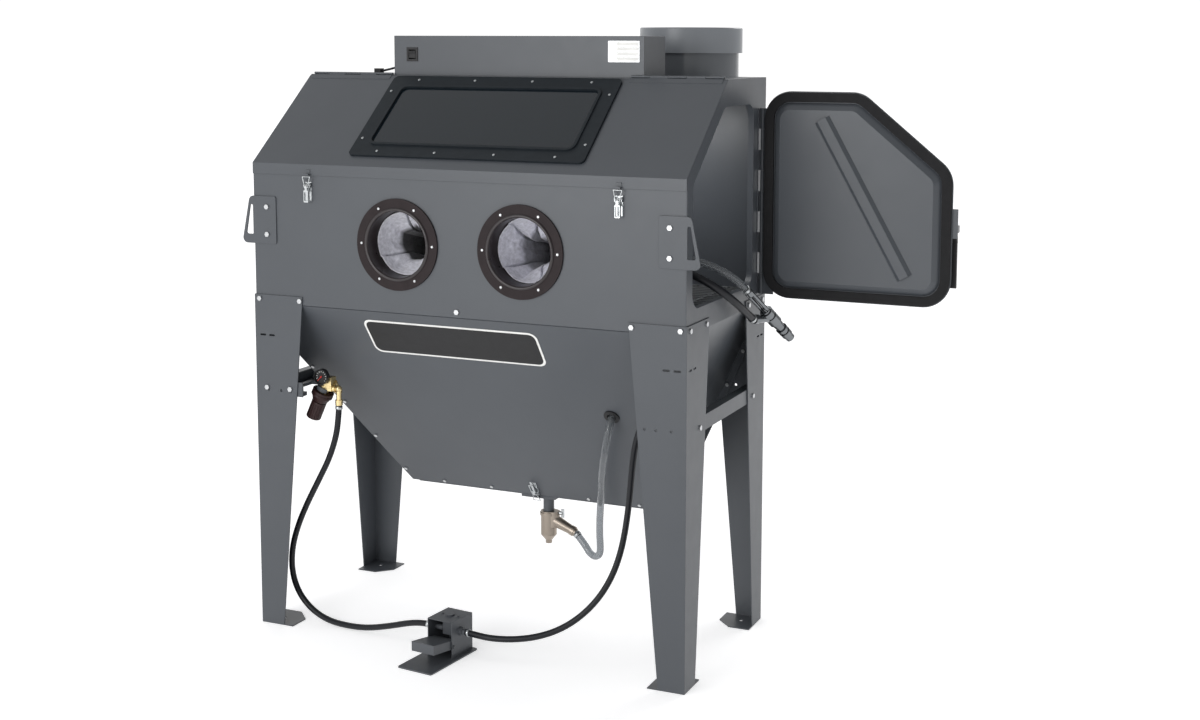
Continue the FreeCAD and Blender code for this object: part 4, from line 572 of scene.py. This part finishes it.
# The hopper's front wall: where it starts, and how far it runs back over how far it drops.
FRONT_Y = -0.280
HOPPER_TOP = 0.873
HOPPER_RUN = 0.398
HOPPER_DROP = 0.553
HOPPER_UP = Vector((0, -0.584, 0.811))
LABEL_X = -0.045
LABEL_Z = 0.800
# The pressure gauge's face.
DIAL = Vector((-0.438, -0.2402, 0.680))
DIAL_WIDTH = 0.0372
TICK_COUNT = 11
TICK_RING = 0.0140
# Clamps: name, hose, which end of it, and the band's inner radius.
CLAMPS = [
    ("supply_clamp", SUPPLY_HOSE, 0, 0.0082),
    ("pedal_clamp_left", SUPPLY_HOSE, -1, 0.0082),
    ("pedal_clamp_right", PEDAL_HOSE, 0, 0.0082),
    ("media_clamp", MEDIA_HOSE, 0, 0.0100),
    ("gun_air_clamp", GUN_HOSE, -1, 0.0103),
    ("gun_media_clamp", MEDIA_HOSE, -1, 0.0100),
]
CLAMP_INSET = 0.007


def add_labels():
    """The hopper's plain dark label with its pale edge, and the roof box's plate with blank fields."""
    back = (HOPPER_TOP - LABEL_Z) / HOPPER_DROP * HOPPER_RUN
    foot = Vector((LABEL_X, FRONT_Y + back, LABEL_Z))
    rounded_plate("front_label_edge", foot, ACROSS, HOPPER_UP, (0.500, 0.118), 0.022, 0.0008,
                  WHITE)
    rounded_plate("front_label", foot, ACROSS, HOPPER_UP, (0.488, 0.106), 0.018, 0.0014,
                  PLASTIC)
    plate = Vector((0.3245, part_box("control_box")[0].y - 0.0001, 1.536))
    rounded_plate("name_plate", plate, ACROSS, UPRIGHT, (0.087, 0.054), 0.002, 0.0008, STEEL)
    for row in range(4):
        spot = plate + Vector((0.011, -0.0006, 0.019 - 0.0125 * row))
        rounded_plate(f"plate_field_{row}", spot, ACROSS, UPRIGHT, (0.060, 0.009), 0.001, 0.0006,
                      WHITE)


def add_dial():
    """The gauge's dark face and its white ticks."""
    rounded_plate("gauge_dial", DIAL, ACROSS, UPRIGHT, (DIAL_WIDTH, DIAL_WIDTH), 0.0184, 0.0004,
                  PLASTIC)
    for i in range(TICK_COUNT):
        angle = math.radians(225 - 27 * i)
        arm = Vector((math.cos(angle), 0, math.sin(angle)))
        rounded_plate(f"gauge_tick_{i}", DIAL + arm * TICK_RING + Vector((0, -0.0004, 0)), arm,
                      Vector((0, -1, 0)).cross(arm), (0.0040, 0.0011), 0.0003, 0.0003, WHITE)


def add_clamps():
    """A band round each hose end that CLAMPS lists."""
    for name, route, end, radius in CLAMPS:
        tip = Vector(route[end])
        inner = Vector(route[1] if end == 0 else route[-2])
        way = (inner - tip).normalized()
        ring_band(name, tip + way * CLAMP_INSET, way, radius, 0.009, 0.0014, ZINC)


# ---------------------------------------------------------------- stage
CAMERA_PLACE = (1.9604, -3.7242, 1.5574)
AZIMUTH = math.radians(23.27)
ELEVATION = math.radians(6.68)
ROLL = math.radians(0.2)
FLOOR_HALF = 40
# Light that the surround gives: level with the object and overhead, ahead and to the right.
LEVEL_LIGHT = 1.06
OVERHEAD_LIGHT = 0.72
AHEAD_LIGHT = 1.0
RIGHT_LIGHT = 0.42


def add_camera():
    """The camera: in front, to the right, a little above the object's middle."""
    back = Vector((math.sin(AZIMUTH) * math.cos(ELEVATION), -math.cos(AZIMUTH) * math.cos(ELEVATION),
                   math.sin(ELEVATION)))
    right = (-back).cross(Vector((0, 0, 1))).normalized()
    up = right.cross(-back)
    turned = right * math.cos(ROLL) + up * math.sin(ROLL)
    turned_up = back.cross(turned)
    data = bpy.data.cameras.new("camera")
    data.lens = 48.018
    data.sensor_width = 36.0
    data.shift_x = -0.0295
    data.shift_y = -0.1079
    data.clip_end = 60.0
    camera = bpy.data.objects.new("camera", data)
    scene.collection.objects.link(camera)
    turn = Matrix((turned, turned_up, back)).transposed().to_4x4()
    camera.matrix_world = Matrix.Translation(CAMERA_PLACE) @ turn
    scene.camera = camera


def add_light(name, place, target, size, power):
    """A large soft area light aimed at a point."""
    data = bpy.data.lights.new(name, "AREA")
    data.shape = "RECTANGLE"
    data.size = size[0]
    data.size_y = size[1]
    data.energy = power
    lamp = bpy.data.objects.new(name, data)
    scene.collection.objects.link(lamp)
    lamp.location = place
    lamp.rotation_euler = (Vector(target) - Vector(place)).to_track_quat("-Z", "Y").to_euler()


def add_floor():
    """A pale floor that glows a little more with distance, so that it has no far edge."""
    corners = [(x * FLOOR_HALF, y * FLOOR_HALF, 0) for x, y in ((-1, -1), (1, -1), (1, 1), (-1, 1))]
    data = bpy.data.meshes.new("floor")
    data.from_pydata(corners, [], [(0, 1, 2, 3)])
    floor = bpy.data.objects.new("floor", data)
    scene.collection.objects.link(floor)
    ground = Shader("pale_floor", (0.90, 0.90, 0.91), 0.8)
    ground.tint(ground.noise(1.5, 2.0), 0.99, 1.01)
    ground.bsdf.inputs["Emission Color"].default_value = (1.0, 1.0, 1.0, 1.0)
    distance = ground.node("ShaderNodeVectorMath")
    distance.operation = "LENGTH"
    ground.link(ground.position, distance.inputs[0])
    glow = ramp(ground.tree, distance.outputs["Value"], 0.48, 0.62, 0.6, 6.0)
    ground.link(glow, ground.bsdf.inputs["Emission Strength"])
    dress(floor, ground.material)


def add_surround():
    """Even light all round, dimmer overhead and to the right, that is seen as plain white."""
    world = bpy.data.worlds.new("surround")
    world.use_nodes = True
    tree = world.node_tree
    split = tree.nodes.new("ShaderNodeSeparateXYZ")
    tree.links.new(tree.nodes.new("ShaderNodeTexCoord").outputs["Generated"], split.inputs[0])
    height = ramp(tree, split.outputs["Z"], LEVEL_LIGHT, OVERHEAD_LIGHT, 0.12, 0.85)
    side = ramp(tree, split.outputs["X"], AHEAD_LIGHT, RIGHT_LIGHT, 0.0, 0.42)
    light = combine(tree, "MULTIPLY", height, side)
    seen = tree.nodes.new("ShaderNodeLightPath").outputs["Is Camera Ray"]
    background = tree.nodes["Background"]
    tree.links.new(combine(tree, "MAXIMUM", light, seen), background.inputs["Strength"])
    background.inputs["Color"].default_value = (1.0, 1.0, 1.0, 1.0)
    scene.world = world


add_camera()
dress_frame()
add_cord("supply_hose", SUPPLY_HOSE, 0.008, 1.04, HOSE, "hose_rubber",
         far_end="object", stiffness="medium", lay="hanging")
add_cord("pedal_hose", PEDAL_HOSE, 0.008, 0.880, HOSE, "hose_rubber",
         far_end="object", stiffness="medium", lay="hanging")
add_cord("gun_hose", GUN_HOSE, 0.010, 0.805, HOSE, "hose_rubber",
         far_end="tool", stiffness="medium", lay="hanging", with_pieces=[NODES["blast_gun"]])
add_cord("media_hose", MEDIA_HOSE, 0.0098, 1.380, CLEAR_HOSE, "hose_clear",
         far_end="object", stiffness="limp", lay="hanging")
add_cord("lamp_cable", LAMP_CABLE, 0.003, 0.075, HOSE, "hose_rubber",
         far_end="object", stiffness="medium", lay="loose")
for hand_side in (-1, 1):
    add_glove(hand_side)
add_labels()
add_dial()
add_clamps()
add_floor()
add_surround()
add_light("key", (-1.2, -4.6, 1.7), (0, 0, 0.9), (2.4, 2.0), 70)
add_light("inside", (0.30, 0.02, 1.33), (0.34, 0.24, 0.90), (0.36, 0.20), 1.6)
add_light("rim", (1.4, 3.0, 3.0), (0.3, 0.2, 1.2), (1.6, 1.6), 30)
scene.view_settings.view_transform = "Standard"
